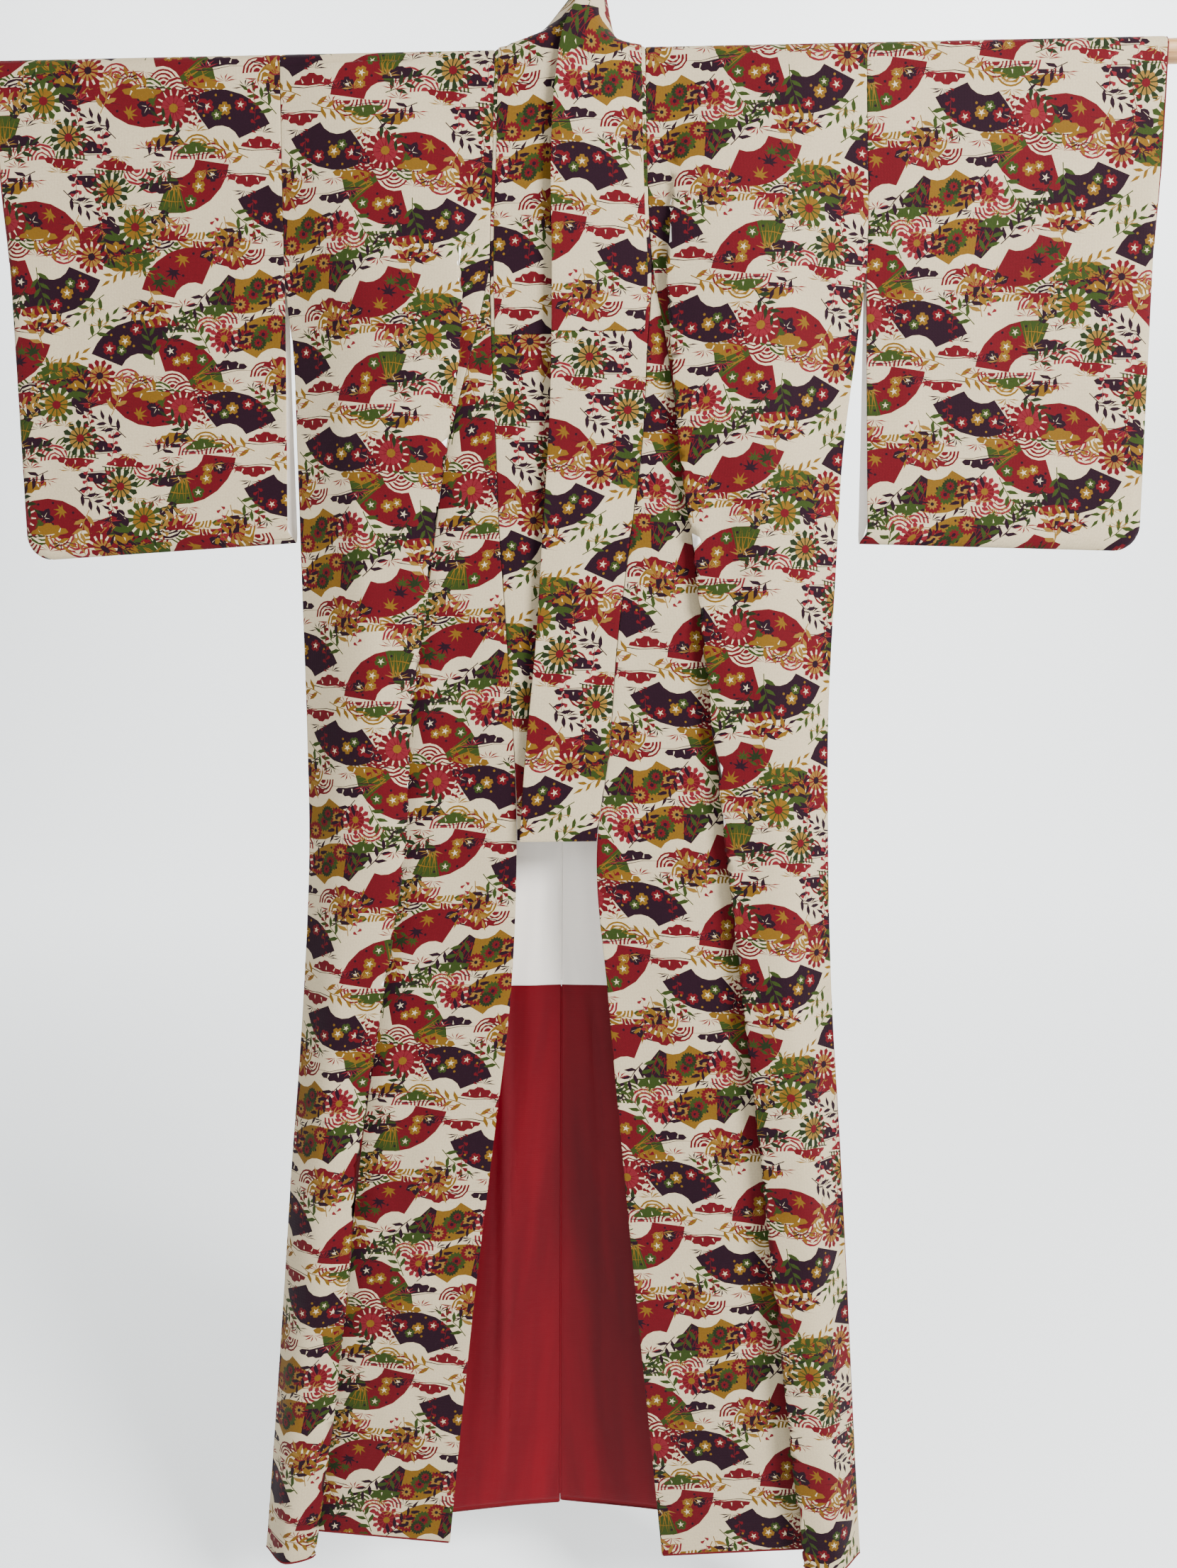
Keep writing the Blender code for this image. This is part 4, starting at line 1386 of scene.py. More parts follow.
def shell(
    name: str, panels: Sequence[Panel], faces: Sequence[tuple[int, Callable]], paints: Sequence
) -> Object:
    """Builds a cloth shell of one or more panels.

    Args:
        name: The piece's name.
        panels: Its panels.
        faces: For each face, 1 for printed or -1 for inner, and what lays flat cloth over an area.
        paints: The materials of the faces.

    Returns:
        The piece.
    """
    points, uvs, normals, tris, dyes, slots = [], [], [], [], [], []
    total = 0
    for number, panel in enumerate(panels):
        low = (-2.0, panel.top - 2.0)
        high = (float(panel.surface.width.max()) + 2.0, panel.low + 2.0)
        for slot, (face, lay) in enumerate(faces):
            cut = panel.trimmed(lay(number, low, high))
            place = panel.raised(cut.uv, face)
            corners = place[cut.tris]
            flat = np.cross(corners[:, 1] - corners[:, 0], corners[:, 2] - corners[:, 0])
            middle = cut.uv[cut.tris].mean(axis=1)
            wanted = panel.surface.read(middle[:, 0], middle[:, 1])[1] * face
            wrong = (flat * wanted).sum(axis=1) < 0
            order = np.where(wrong[:, None], cut.tris[:, ::-1], cut.tris)
            points.append(place)
            uvs.append(cut.uv)
            normals.append(panel.facing(cut.uv, face))
            tris.append(order + total)
            dyes.append(cut.dyes)
            slots.append(np.full(len(order), slot))
            total += len(place)
    point, uv, tri = np.concatenate(points) * MM, np.concatenate(uvs), np.concatenate(tris)
    keys = np.round(point * 1e5).astype(np.int64) + 10**6
    code = (keys[:, 0] * 10**7 + keys[:, 1]) * 10**6 + keys[:, 2]
    _, chosen, where = np.unique(code, return_index=True, return_inverse=True)
    welded = where.reshape(-1)[tri]
    good = (welded[:, 0] != welded[:, 1]) & (welded[:, 1] != welded[:, 2]) & (welded[:, 0] != welded[:, 2])
    mesh = bpy.data.meshes.new(name)
    loops = welded[good].reshape(-1)
    mesh.vertices.add(len(chosen))
    mesh.vertices.foreach_set("co", point[chosen].astype(np.float32).reshape(-1))
    mesh.loops.add(len(loops))
    mesh.loops.foreach_set("vertex_index", loops.astype(np.int32))
    mesh.polygons.add(len(loops) // 3)
    mesh.polygons.foreach_set("loop_start", np.arange(0, len(loops), 3, dtype=np.int32))
    mesh.polygons.foreach_set("material_index", np.concatenate(slots)[good].astype(np.int32))
    flat_uv = mesh.uv_layers.new(name="cloth")
    flat_uv.data.foreach_set("uv", (uv[tri[good].reshape(-1)] * MM).astype(np.float32).reshape(-1))
    palette = np.array([linear(dye.value) for dye in DYES])
    colours = mesh.color_attributes.new("dye", "FLOAT_COLOR", "CORNER")
    shade = np.repeat(palette[np.concatenate(dyes)[good]], 3, axis=0)
    colours.data.foreach_set("color", shade.astype(np.float32).reshape(-1))
    mesh.update(calc_edges=True)
    changed = mesh.validate()
    mesh.shade_smooth()
    if not changed:
        mesh.normals_split_custom_set(np.concatenate(normals)[tri[good].reshape(-1)].astype(np.float32))
    for paint in paints:
        mesh.materials.append(paint)
    piece = linked(name, mesh)
    LOG.info("%s: %d triangles%s", name, len(mesh.polygons), ", faces dropped" if changed else "")
    return piece


def add_node(tree: NodeTree, kind: str, settings: dict, links: dict) -> Node:
    """Adds a node with its settings and links.

    Args:
        tree: The material's node tree.
        kind: The node's type, without "ShaderNode".
        settings: Attributes by name, and input values by socket name or number.
        links: Output sockets by the input that each feeds.

    Returns:
        The node.
    """
    node = tree.nodes.new("ShaderNode" + kind)
    for key, value in settings.items():
        if isinstance(key, str) and hasattr(node, key):
            setattr(node, key, value)
        else:
            node.inputs[key].default_value = value
    for key, socket in links.items():
        tree.links.new(socket, node.inputs[key])
    return node


def linked(name: str, data: ID) -> Object:
    """Makes an object of a mesh, curve, light or camera and puts it in the scene.

    Args:
        name: Its name.
        data: What it shows.

    Returns:
        The object.
    """
    thing = bpy.data.objects.new(name, data)
    bpy.context.collection.objects.link(thing)
    return thing


def set_inputs(node: Node, values: dict) -> None:
    """Sets a node's inputs by their names."""
    for name, value in values.items():
        node.inputs[name].default_value = value


def new_material(name: str) -> tuple[Material, NodeTree, Node]:
    """Starts a material.

    Args:
        name: The material's name.

    Returns:
        The material, its tree and its shader.
    """
    material = bpy.data.materials.new(name)
    material.use_nodes = True
    tree = material.node_tree
    return material, tree, tree.nodes["Principled BSDF"]


def set_ramp(node: Node, stops: Sequence[tuple[float, tuple]]) -> None:
    """Sets a colour ramp's stops.

    Args:
        node: The ramp node.
        stops: Positions and linear colours, two or more.
    """
    while len(node.color_ramp.elements) < len(stops):
        node.color_ramp.elements.new(0.5)
    for element, (place, colour) in zip(node.color_ramp.elements, stops):
        element.position = place
        element.color = colour


@dataclass(frozen=True)
class PrintedCrepe:
    """Wool and silk crepe, printed: a matt face with a fine pebbled grain that breaks up the light, its
    hollows darkened with painted shade.
    """

    roughness: float = 0.82
    sheen: float = 0.03
    thread_mm: float = 1.6
    grain_mm: float = 2.2

    def build(self) -> Material:
        """Makes the material, its dyes read from the cloth's own colour attribute.

        Returns:
            The material.
        """
        material, tree, shader = new_material("printed crepe, woven and dyed")
        dye = add_node(tree, "VertexColor", {"layer_name": "dye"}, {})
        flat = add_node(tree, "UVMap", {"uv_map": "cloth"}, {})
        # Crepe yarns are about 0.4 mm apart. The bands repeat every two threads as drawn, 3.2 mm, which is
        # eight times coarser, so that they show.
        wide, tall = (add_node(tree, "TexWave", {
            "wave_type": "BANDS", "bands_direction": way, "Scale": 1 / (self.thread_mm * MM) / 6.3,
            "Distortion": 1.4, "Detail": 1.0, "Detail Scale": 1.5}, {"Vector": flat.outputs["UV"]})
            for way in ("X", "Y"))
        threads = add_node(tree, "Math", {"operation": "MULTIPLY"},
                           {0: wide.outputs["Fac"], 1: tall.outputs["Fac"]})
        grain = add_node(tree, "TexNoise", {
            "Scale": 1 / (self.grain_mm * MM), "Detail": 3.0, "Roughness": 0.6},
            {"Vector": flat.outputs["UV"]})
        wear = add_node(tree, "TexNoise", {"Scale": 14.0, "Detail": 4.0, "Roughness": 0.55},
                        {"Vector": flat.outputs["UV"]})
        tone = add_node(tree, "MapRange", {
            "From Min": 0.3, "From Max": 0.7, "To Min": 0.93, "To Max": 1.03}, {"Value": wear.outputs["Fac"]})
        # The dye is darkened where the grain's bump lies low: painted shade in the pebbles' hollows. The wear
        # noise above is a random mottle.
        pebble_shade = add_node(tree, "MapRange", {
            "From Min": 0.3, "From Max": 0.7, "To Min": 0.9, "To Max": 1.06}, {"Value": grain.outputs["Fac"]})
        both = add_node(tree, "Math", {"operation": "MULTIPLY"},
                        {0: tone.outputs["Result"], 1: pebble_shade.outputs["Result"]})
        mixed = add_node(tree, "VectorMath", {"operation": "SCALE"},
                         {0: dye.outputs["Color"], "Scale": both.outputs[0]})
        tree.links.new(mixed.outputs[0], shader.inputs["Base Color"])
        soft = add_node(tree, "TexNoise", {"Scale": 22.0, "Detail": 2.0, "Distortion": 0.4},
                        {"Vector": flat.outputs["UV"]})
        puckers = add_node(tree, "Bump", {"Strength": 0.35, "Distance": 0.0016},
                           {"Height": soft.outputs["Fac"]})
        weave = add_node(tree, "Bump", {"Strength": 0.35, "Distance": 0.0003},
                         {"Height": threads.outputs[0], "Normal": puckers.outputs["Normal"]})
        pebbles = add_node(tree, "Bump", {"Strength": 0.4, "Distance": 0.0004},
                           {"Height": grain.outputs["Fac"], "Normal": weave.outputs["Normal"]})
        tree.links.new(pebbles.outputs["Normal"], shader.inputs["Normal"])
        set_inputs(shader, {"Roughness": self.roughness, "Sheen Weight": self.sheen, "Sheen Roughness": 0.5,
                            "Specular IOR Level": 0.1, "IOR": 1.5})
        return material


@dataclass(frozen=True)
class SilkLining:
    """Plain-woven lining silk: smooth, with a soft gloss that runs along the folds, and painted shade in the
    troughs of its slow ripples.
    """

    name: str
    colour: str
    # The second colour is painted shade, laid in the troughs of the slow ripples.
    shade: str
    roughness: float
    sheen: float
    ripple_mm: float = 46.0
    dyed: bool = False

    def build(self) -> Material:
        """Makes the material, with slow tone changes down the cloth that are painted shade where its ripples
        lie low, and a fine plain weave.

        Returns:
            The material.
        """
        material, tree, shader = new_material(self.name)
        flat = add_node(tree, "UVMap", {"uv_map": "cloth"}, {})
        stretch = add_node(tree, "Mapping", {"Scale": (1.0, 0.12, 1.0)},
                           {"Vector": flat.outputs["UV"]})
        slow = add_node(tree, "TexNoise", {
            "Scale": 1 / (self.ripple_mm * MM), "Detail": 3.0, "Roughness": 0.5},
            {"Vector": stretch.outputs["Vector"]})
        # The same noise draws the ripples' bump below, so the darker colour is painted shade in their
        # troughs.
        tone = add_node(tree, "ValToRGB", {}, {"Fac": slow.outputs["Fac"]})
        set_ramp(tone, [(0.3, linear(self.shade)), (0.62, linear(self.colour))])
        tree.links.new(tone.outputs["Color"], shader.inputs["Base Color"])
        if self.dyed:
            dye = add_node(tree, "VertexColor", {"layer_name": "dye"}, {})
            tree.links.new(dye.outputs["Color"], shader.inputs["Base Color"])
        # Lining threads are 0.2 mm apart. The bands repeat every 2.4 mm, so that they show at all.
        weave = add_node(tree, "TexWave", {
            "wave_type": "BANDS", "bands_direction": "Y", "Scale": 130.0, "Distortion": 0.8},
            {"Vector": flat.outputs["UV"]})
        slack = add_node(tree, "Bump", {"Strength": 0.5, "Distance": 0.004},
                         {"Height": slow.outputs["Fac"]})
        cloth = add_node(tree, "Bump", {"Strength": 0.2, "Distance": 0.0002},
                         {"Height": weave.outputs["Fac"], "Normal": slack.outputs["Normal"]})
        tree.links.new(cloth.outputs["Normal"], shader.inputs["Normal"])
        set_inputs(shader, {"Roughness": self.roughness, "Sheen Weight": self.sheen,
                            "Specular IOR Level": 0.12, "IOR": 1.5})
        return material


@dataclass(frozen=True)
class SandedWood:
    """Beech dowel, turned and sanded: a pale tan with fine streaks along its length."""

    light: str = "#B98F5E"
    dark: str = "#8E6437"
    roughness: float = 0.5
    grain_mm: float = 2.5

    def build(self) -> Material:
        """Makes the material, with its grain drawn along X.

        Returns:
            The material.
        """
        material, tree, shader = new_material("beech dowel, turned and sanded")
        place = add_node(tree, "TexCoord", {}, {})
        stretch = add_node(tree, "Mapping", {"Scale": (0.05, 1.0, 1.0)},
                           {"Vector": place.outputs["Object"]})
        streaks = add_node(tree, "TexNoise", {
            "Scale": 1 / (self.grain_mm * MM), "Detail": 5.0, "Roughness": 0.6},
            {"Vector": stretch.outputs["Vector"]})
        tone = add_node(tree, "ValToRGB", {}, {"Fac": streaks.outputs["Fac"]})
        set_ramp(tone, [(0.35, linear(self.dark)), (0.62, linear(self.light))])
        tree.links.new(tone.outputs["Color"], shader.inputs["Base Color"])
        bump = add_node(tree, "Bump", {"Strength": 0.3, "Distance": 0.0002},
                        {"Height": streaks.outputs["Fac"]})
        tree.links.new(bump.outputs["Normal"], shader.inputs["Normal"])
        set_inputs(shader, {"Roughness": self.roughness, "IOR": 1.5})
        return material


@dataclass(frozen=True)
class DrawnSteel:
    """Steel wire, drawn and bent: bright, with fine lines along it that blur its reflections."""

    colour: str = "#C9C8C4"
    roughness: float = 0.28

    def build(self) -> Material:
        """Makes the material, a metal with the default IOR.

        Returns:
            The material.
        """
        material, tree, shader = new_material("steel wire, drawn and bent")
        place = add_node(tree, "TexCoord", {}, {})
        lines = add_node(tree, "TexNoise", {"Scale": 900.0, "Detail": 2.0},
                         {"Vector": place.outputs["Object"]})
        gloss = add_node(tree, "MapRange", {"To Min": self.roughness - 0.06,
                                                     "To Max": self.roughness + 0.08},
                         {"Value": lines.outputs["Fac"]})
        tree.links.new(gloss.outputs["Result"], shader.inputs["Roughness"])
        set_inputs(shader, {"Base Color": linear(self.colour), "Metallic": 1.0})
        return material


@dataclass(frozen=True)
class Finishes:
    """The finished materials, made once."""

    crepe: Material
    inner_lining: Material
    white_lining: Material
    red_lining: Material
    piping: Material
    wood: Material
    steel: Material


def make_finishes() -> Finishes:
    """Makes every finish of the kimono and its hanger.

    Returns:
        The finishes.
    """
    # Each silk's second colour is painted shade in its ripples' troughs; the dyed lining shows its dye in its
    # place.
    return Finishes(
        crepe=PrintedCrepe().build(),
        inner_lining=SilkLining(
            "lining silk, dyed red below", "#F0E9E0", "#DDD6CE", 0.6, 0.02, dyed=True
        ).build(),
        white_lining=SilkLining("white lining silk, plain woven", "#F0E9E0", "#DDD6CE", 0.62, 0.02).build(),
        red_lining=SilkLining("red lining silk, plain woven", "#62000E", "#4E000A", 0.45, 0.0).build(),
        piping=SilkLining("dark red facing silk, rolled", "#5A0911", "#3E060B", 0.5, 0.02).build(),
        wood=SandedWood().build(),
        steel=DrawnSteel().build(),
    )


def lining_dye(middle: np.ndarray) -> np.ndarray:
    """The dye numbers of the lining: white above its join, red below."""
    below = middle[:, 1] > down(LINING_JOIN)
    return np.where(below, DYES.index(Dye.RED_LINING), DYES.index(Dye.WHITE_LINING))


def printed(
    repeats: Sequence[Repeat], shift: tuple[float, float], ways: Sequence[tuple[int, int]]
) -> Callable:
    """Gives what lays the print over each panel.

    Args:
        repeats: The print of each panel.
        shift: Where a repeat's corner lies.
        ways: For each panel, the signs that turn its places into the print's.

    Returns:
        A function of the panel's number and its area's lowest and highest corners.
    """

    def lay(number: int, low: Sequence[float], high: Sequence[float]) -> Cut:
        """Prints one panel.

        Args:
            number: The panel's number.
            low: Its area's lowest corner.
            high: Its area's highest corner.

        Returns:
            The printed cloth.
        """
        way = np.array(ways[number])
        ends = np.sort(np.array([low, high]) * way, axis=0)
        cut = tiled(repeats[number], shift, ends[0], ends[1])
        cut.uv = cut.uv * way
        return cut

    return lay


def lined(wide: float = 10.0, long: float = 20.0) -> Callable:
    """Gives what lays the lining over each panel.

    Args:
        wide: The oblongs' width.
        long: The oblongs' length.

    Returns:
        A function of the panel's number and its area's lowest and highest corners.
    """

    def lay(number: int, low: Sequence[float], high: Sequence[float]) -> Cut:
        """Lines one panel."""
        return plain((wide, long), low, high, lining_dye)

    return lay


def declared(piece: Object, nodes: Sequence[str]) -> Object:
    """Puts a piece on the body, in place of its CAD nodes, which it hides.

    Args:
        piece: The piece.
        nodes: The nodes that it replaces.

    Returns:
        The piece.
    """
    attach(piece, "root")
    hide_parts(*nodes)
    return piece


@dataclass
class BodySide:
    """One body length of the kimono: front leaf, shoulder, and back leaf to the centre seam."""

    name: str
    side: int
    body: Sequence[Body]
    front: Sequence[Front]
    front_hem: float
    seam_hem: float
    back_hem: float
    print_shift: tuple[float, float]
    overlap_shift: tuple[float, float]
    front_steps: tuple[int, ...] = (1, 2, 2, 2, 3, 3)
    back_steps: tuple[int, ...] = (4, 4, 5)
    neck_steps: int = 3
    fine: int = 8
    surfaces: dict[str, Surface] = field(default_factory=dict)

    def neck(self) -> float:
        """How far out the neck seam lies at the shoulder."""
        return self.body[0].seam

    def front_section(self, row: Body) -> list[tuple[float, float]]:
        """Gives a front leaf's control points: flat at its seam, turned back under, rolled out.

        Args:
            row: The cut at this depth.

        Returns:
            Points (out, y) from the seam to the edge.
        """
        lift = row.crest_y - row.flat_y
        return [
            (row.seam, row.flat_y),
            ((row.seam + row.turn) / 2, row.flat_y + 0.10 * lift),
            (row.turn, row.flat_y + 0.30 * lift),
            ((row.turn + row.fold) / 2, row.flat_y + 0.50 * lift),
            (row.fold, row.flat_y + 0.76 * lift),
            (row.fold * 0.5 + row.edge * 0.5, row.crest_y),
            (row.edge, row.side_y),
        ]

    def back_section(self, row: Body, centre_out: float, centre_y: float) -> list[tuple[float, float]]:
        """Gives a back leaf's control points, from the outer edge to the neck and the centre.

        Args:
            row: The cut at this depth.
            centre_out: How far out the centre seam lies.
            centre_y: How far back it lies.

        Returns:
            Points (out, y) from the edge to the centre.
        """
        neck = self.neck()
        side = row.edge - 0.22 * (row.edge - neck)
        half = row.edge - 0.60 * (row.edge - neck)
        lean = (centre_y - row.back_y) / (row.edge - centre_out)
        return [
            (row.edge, row.side_y),
            (side, row.back_y),
            (half, row.back_y + lean * (row.edge - half) * 0.75),
            (neck, row.back_y + lean * (row.edge - neck)),
            (centre_out, centre_y),
        ]

    def across(self, depth: float) -> tuple[np.ndarray, np.ndarray]:
        """Points of both leaves at a depth.

        Args:
            depth: Millimetres below the shoulder line.

        Returns:
            The front's (out, y) from seam to edge, and the back's from edge to centre.
        """
        row = row_at(self.body, depth)
        centre = row_at(CENTRE_SEAM, depth)
        centre_out = self.side * centre.x + SEAM_GAP / 2
        front = curve_through(self.front_section(row), self.front_steps, self.fine)
        steps = (*self.back_steps, self.neck_steps)
        back = curve_through(self.back_section(row, centre_out, centre.y), steps, self.fine)
        return self.open_side(front, back, depth)

    def open_side(self, front: np.ndarray, back: np.ndarray, depth: float) -> tuple[np.ndarray, np.ndarray]:
        """Parts the leaves above the side seam's top, and lays them level at the shoulder.

        Args:
            front: The front's points, changed in place.
            back: The back's points, changed in place.
            depth: Millimetres below the shoulder line.

        Returns:
            Both.
        """
        half = row_at(SLEEVE_ROWS, depth).half
        spread = sqrt(min(max((SIDE_OPEN - depth) / (SIDE_OPEN - SLEEVE_SEWN), 0.0), 1.0))
        share = np.linspace(0, 1, len(front))
        level = 1 - ease(depth / BLEND_DEPTH)
        seam, edge, edge_y = front[0, 0], front[-1, 0], front[-1, 1]
        front[:, 0] += (seam + (edge - seam) * share - front[:, 0]) * level
        front[:, 1] += (-half - edge_y) * ease(share) * spread
        outer = back[: len(front)]
        outer[:, 0] += (edge + (self.neck() - edge) * share - outer[:, 0]) * level
        outer[:, 1] += (half - outer[:, 1]) * ease(1 - share) ** 2 * spread
        return front, back

    def depths(self) -> np.ndarray:
        """Depths of the grid's rows below the rod."""
        return np.concatenate([np.arange(15, 330, 5.0), np.arange(330, HEM, 8.0), [HEM]])

    def make_surfaces(self) -> None:
        """Lays the front leaf, the back leaf and the overlap panel as grids."""
        front_rows, back_rows, along = [], [], []
        front, back = self.across(0)
        for turn in ROD_TURNS:
            forward, fall = SHOULDER_RADIUS * sin(turn), SHOULDER_RADIUS * (1 - cos(turn))
            front_rows.append(placed(front[::-1, 0], -forward, fall, self.side))
            back_rows.append(placed(back[:, 0], forward, fall, self.side))
            along.append(SHOULDER_RADIUS * turn)
        rod_rows = len(along)
        overlap_rows, overlap_along = [], []
        for depth in self.depths():
            front, back = self.across(depth)
            share = np.linspace(0, 1, len(front))
            hem = self.seam_hem + (self.back_hem - self.seam_hem) * share
            fall = hem_drop(depth, hem)
            front_rows.append(placed(front[:, 0], front[:, 1], fall, self.side)[::-1])
            back_rows.append(placed(back[:, 0], back[:, 1], hem_drop(depth, self.back_hem), self.side))
            along.append(down(depth))
        for depth in self.depths()[self.depths() >= OVERLAP_TOP]:
            row = row_at(self.body, depth)
            outer = row.seam - SEAM_GAP
            inner = max(row_at(self.front, depth).out + SEAM_GAP, 0.0)
            inner = min(inner, outer - 0.5)
            share = np.linspace(0, 1, 24)
            hem = self.seam_hem + (self.front_hem - self.seam_hem) * share
            out = outer + (inner - outer) * share
            overlap_rows.append(placed(out, row.flat_y, hem_drop(depth, hem), self.side))
            overlap_along.append(down(depth))
        ahead, behind = (0, -1, 0), (0, 1, 0)
        self.surfaces = {
            "front": Surface(front_rows, along, ahead, FRONT_CREASES, 161, 1, rod_rows),
            "back": Surface(back_rows, along, behind, BACK_CREASES, 161, -1, rod_rows),
            "overlap": Surface(overlap_rows, overlap_along, ahead, FRONT_CREASES, 61),
        }

    def dress(self, prints: Sequence[Repeat], finishes: Finishes) -> None:
        """Builds the printed body length, the overlap panel and the back's linings.

        Args:
            prints: The print of the front leaves and that of the back leaves.
            finishes: The materials.
        """
        self.make_surfaces()
        self.dress_body(prints, finishes)
        self.dress_overlap(prints[:1], finishes)
        self.dress_linings(finishes)

    def dress_body(self, prints: Sequence[Repeat], finishes: Finishes) -> None:
        """Builds the body length, printed outside and lined inside.

        Args:
            prints: The print of the front leaves and that of the back leaves.
            finishes: The materials.
        """
        front, back = self.surfaces["front"], self.surfaces["back"]
        neck_width = float(back.width[0]) - (self.neck() - self.side * CENTRE_SEAM[0].x) - SEAM_GAP
        panels = {
            "front": Panel(front, 0.0, down(HEM), open_top=False),
            "back": Panel(back, 0.0, down(HEM), open_top=False, neck=neck_width),
        }
        for label, way, repeat in (("front", 1, prints[0]), ("back", -1, prints[1])):
            roll = self.hem_roll(label, finishes)
            faces = [(1, printed([repeat], self.print_shift, [(self.side, way)])), (-1, lined())]
            name = "body_" + self.name + "_" + label
            piece = shell(name, [panels[label]], faces, [finishes.crepe, finishes.inner_lining])
            declared(piece, ["body_" + self.name])

    def dress_overlap(self, prints: Sequence[Repeat], finishes: Finishes) -> None:
        """Builds the overlap panel.

        Args:
            prints: The panel's print.
            finishes: The materials.
        """
        surface = self.surfaces["overlap"]
        panels = [Panel(surface, down(OVERLAP_TOP), down(HEM))]
        faces = [(1, printed(prints, self.overlap_shift, [(self.side, 1)])), (-1, lined())]
        name = "overlap_" + self.name
        piece = shell(name + "_cloth", panels, faces, [finishes.crepe, finishes.inner_lining])
        declared(piece, [name])
        roll = self.hem_roll("overlap", finishes)

    def hem_roll(self, label: str, finishes: Finishes) -> Object:
        """Builds the roll of red facing that shows along a hem.

        Args:
            label: Which surface the hem is on.
            finishes: The materials.

        Returns:
            The roll.
        """
        surface = self.surfaces[label]
        v = np.full(60, down(HEM) - 0.8)
        points, _ = surface.read(np.linspace(1.5, float(surface.width_at(v[:1])[0]) - 1.5, 60), v)
        return tube(label + "_" + self.name + "_hem_roll", points, 1.4, finishes.piping)

    def seam_roll(self, name: str, top: float, low: float, paint: Material) -> Object:
        """Builds the folded edge of a lining down the centre back seam.

        Args:
            name: The piece's name.
            top: The depth at which it starts.
            low: The depth at which it ends.
            paint: The lining's material.

        Returns:
            The roll.
        """
        v = np.arange(down(top) + 2.0, down(low) - 2.0, 14.0)
        points, normals = self.surfaces["back"].read(self.surfaces["back"].width_at(v), v)
        return tube(name, points - normals * LAYER_LIFT, 1.2, paint)

    def dress_linings(self, finishes: Finishes) -> None:
        """Builds the white and red linings on the back's inner face.

        Args:
            finishes: The materials.
        """
        back = self.surfaces["back"]
        inset = float(np.interp(down(LINING_JOIN), back.along, back.width)) * LINING_SKIP * 0.72
        spans = (
            ("upper_lining_", LINING_TOP, LINING_JOIN - SEAM_GAP, finishes.white_lining, "white_lining"),
            ("lower_lining_", LINING_JOIN, LINING_HEM, finishes.red_lining, "red_lining"),
        )
        for label, top, low, paint, slot in spans:
            panel = Panel(back, down(top), down(low), inset, SEAM_GAP, lift=-LAYER_LIFT, wall=LINING_WALL)
            faces = [(-1, lined(4.5, 22.0)), (1, lined(20.0, 30.0))]
            piece = shell(label + self.name + "_cloth", [panel], faces, [paint, paint])
            declared(piece, [label + self.name])
            edges = [self.seam_roll(label + "seam", top, low, paint)] if self.side == 1 else []


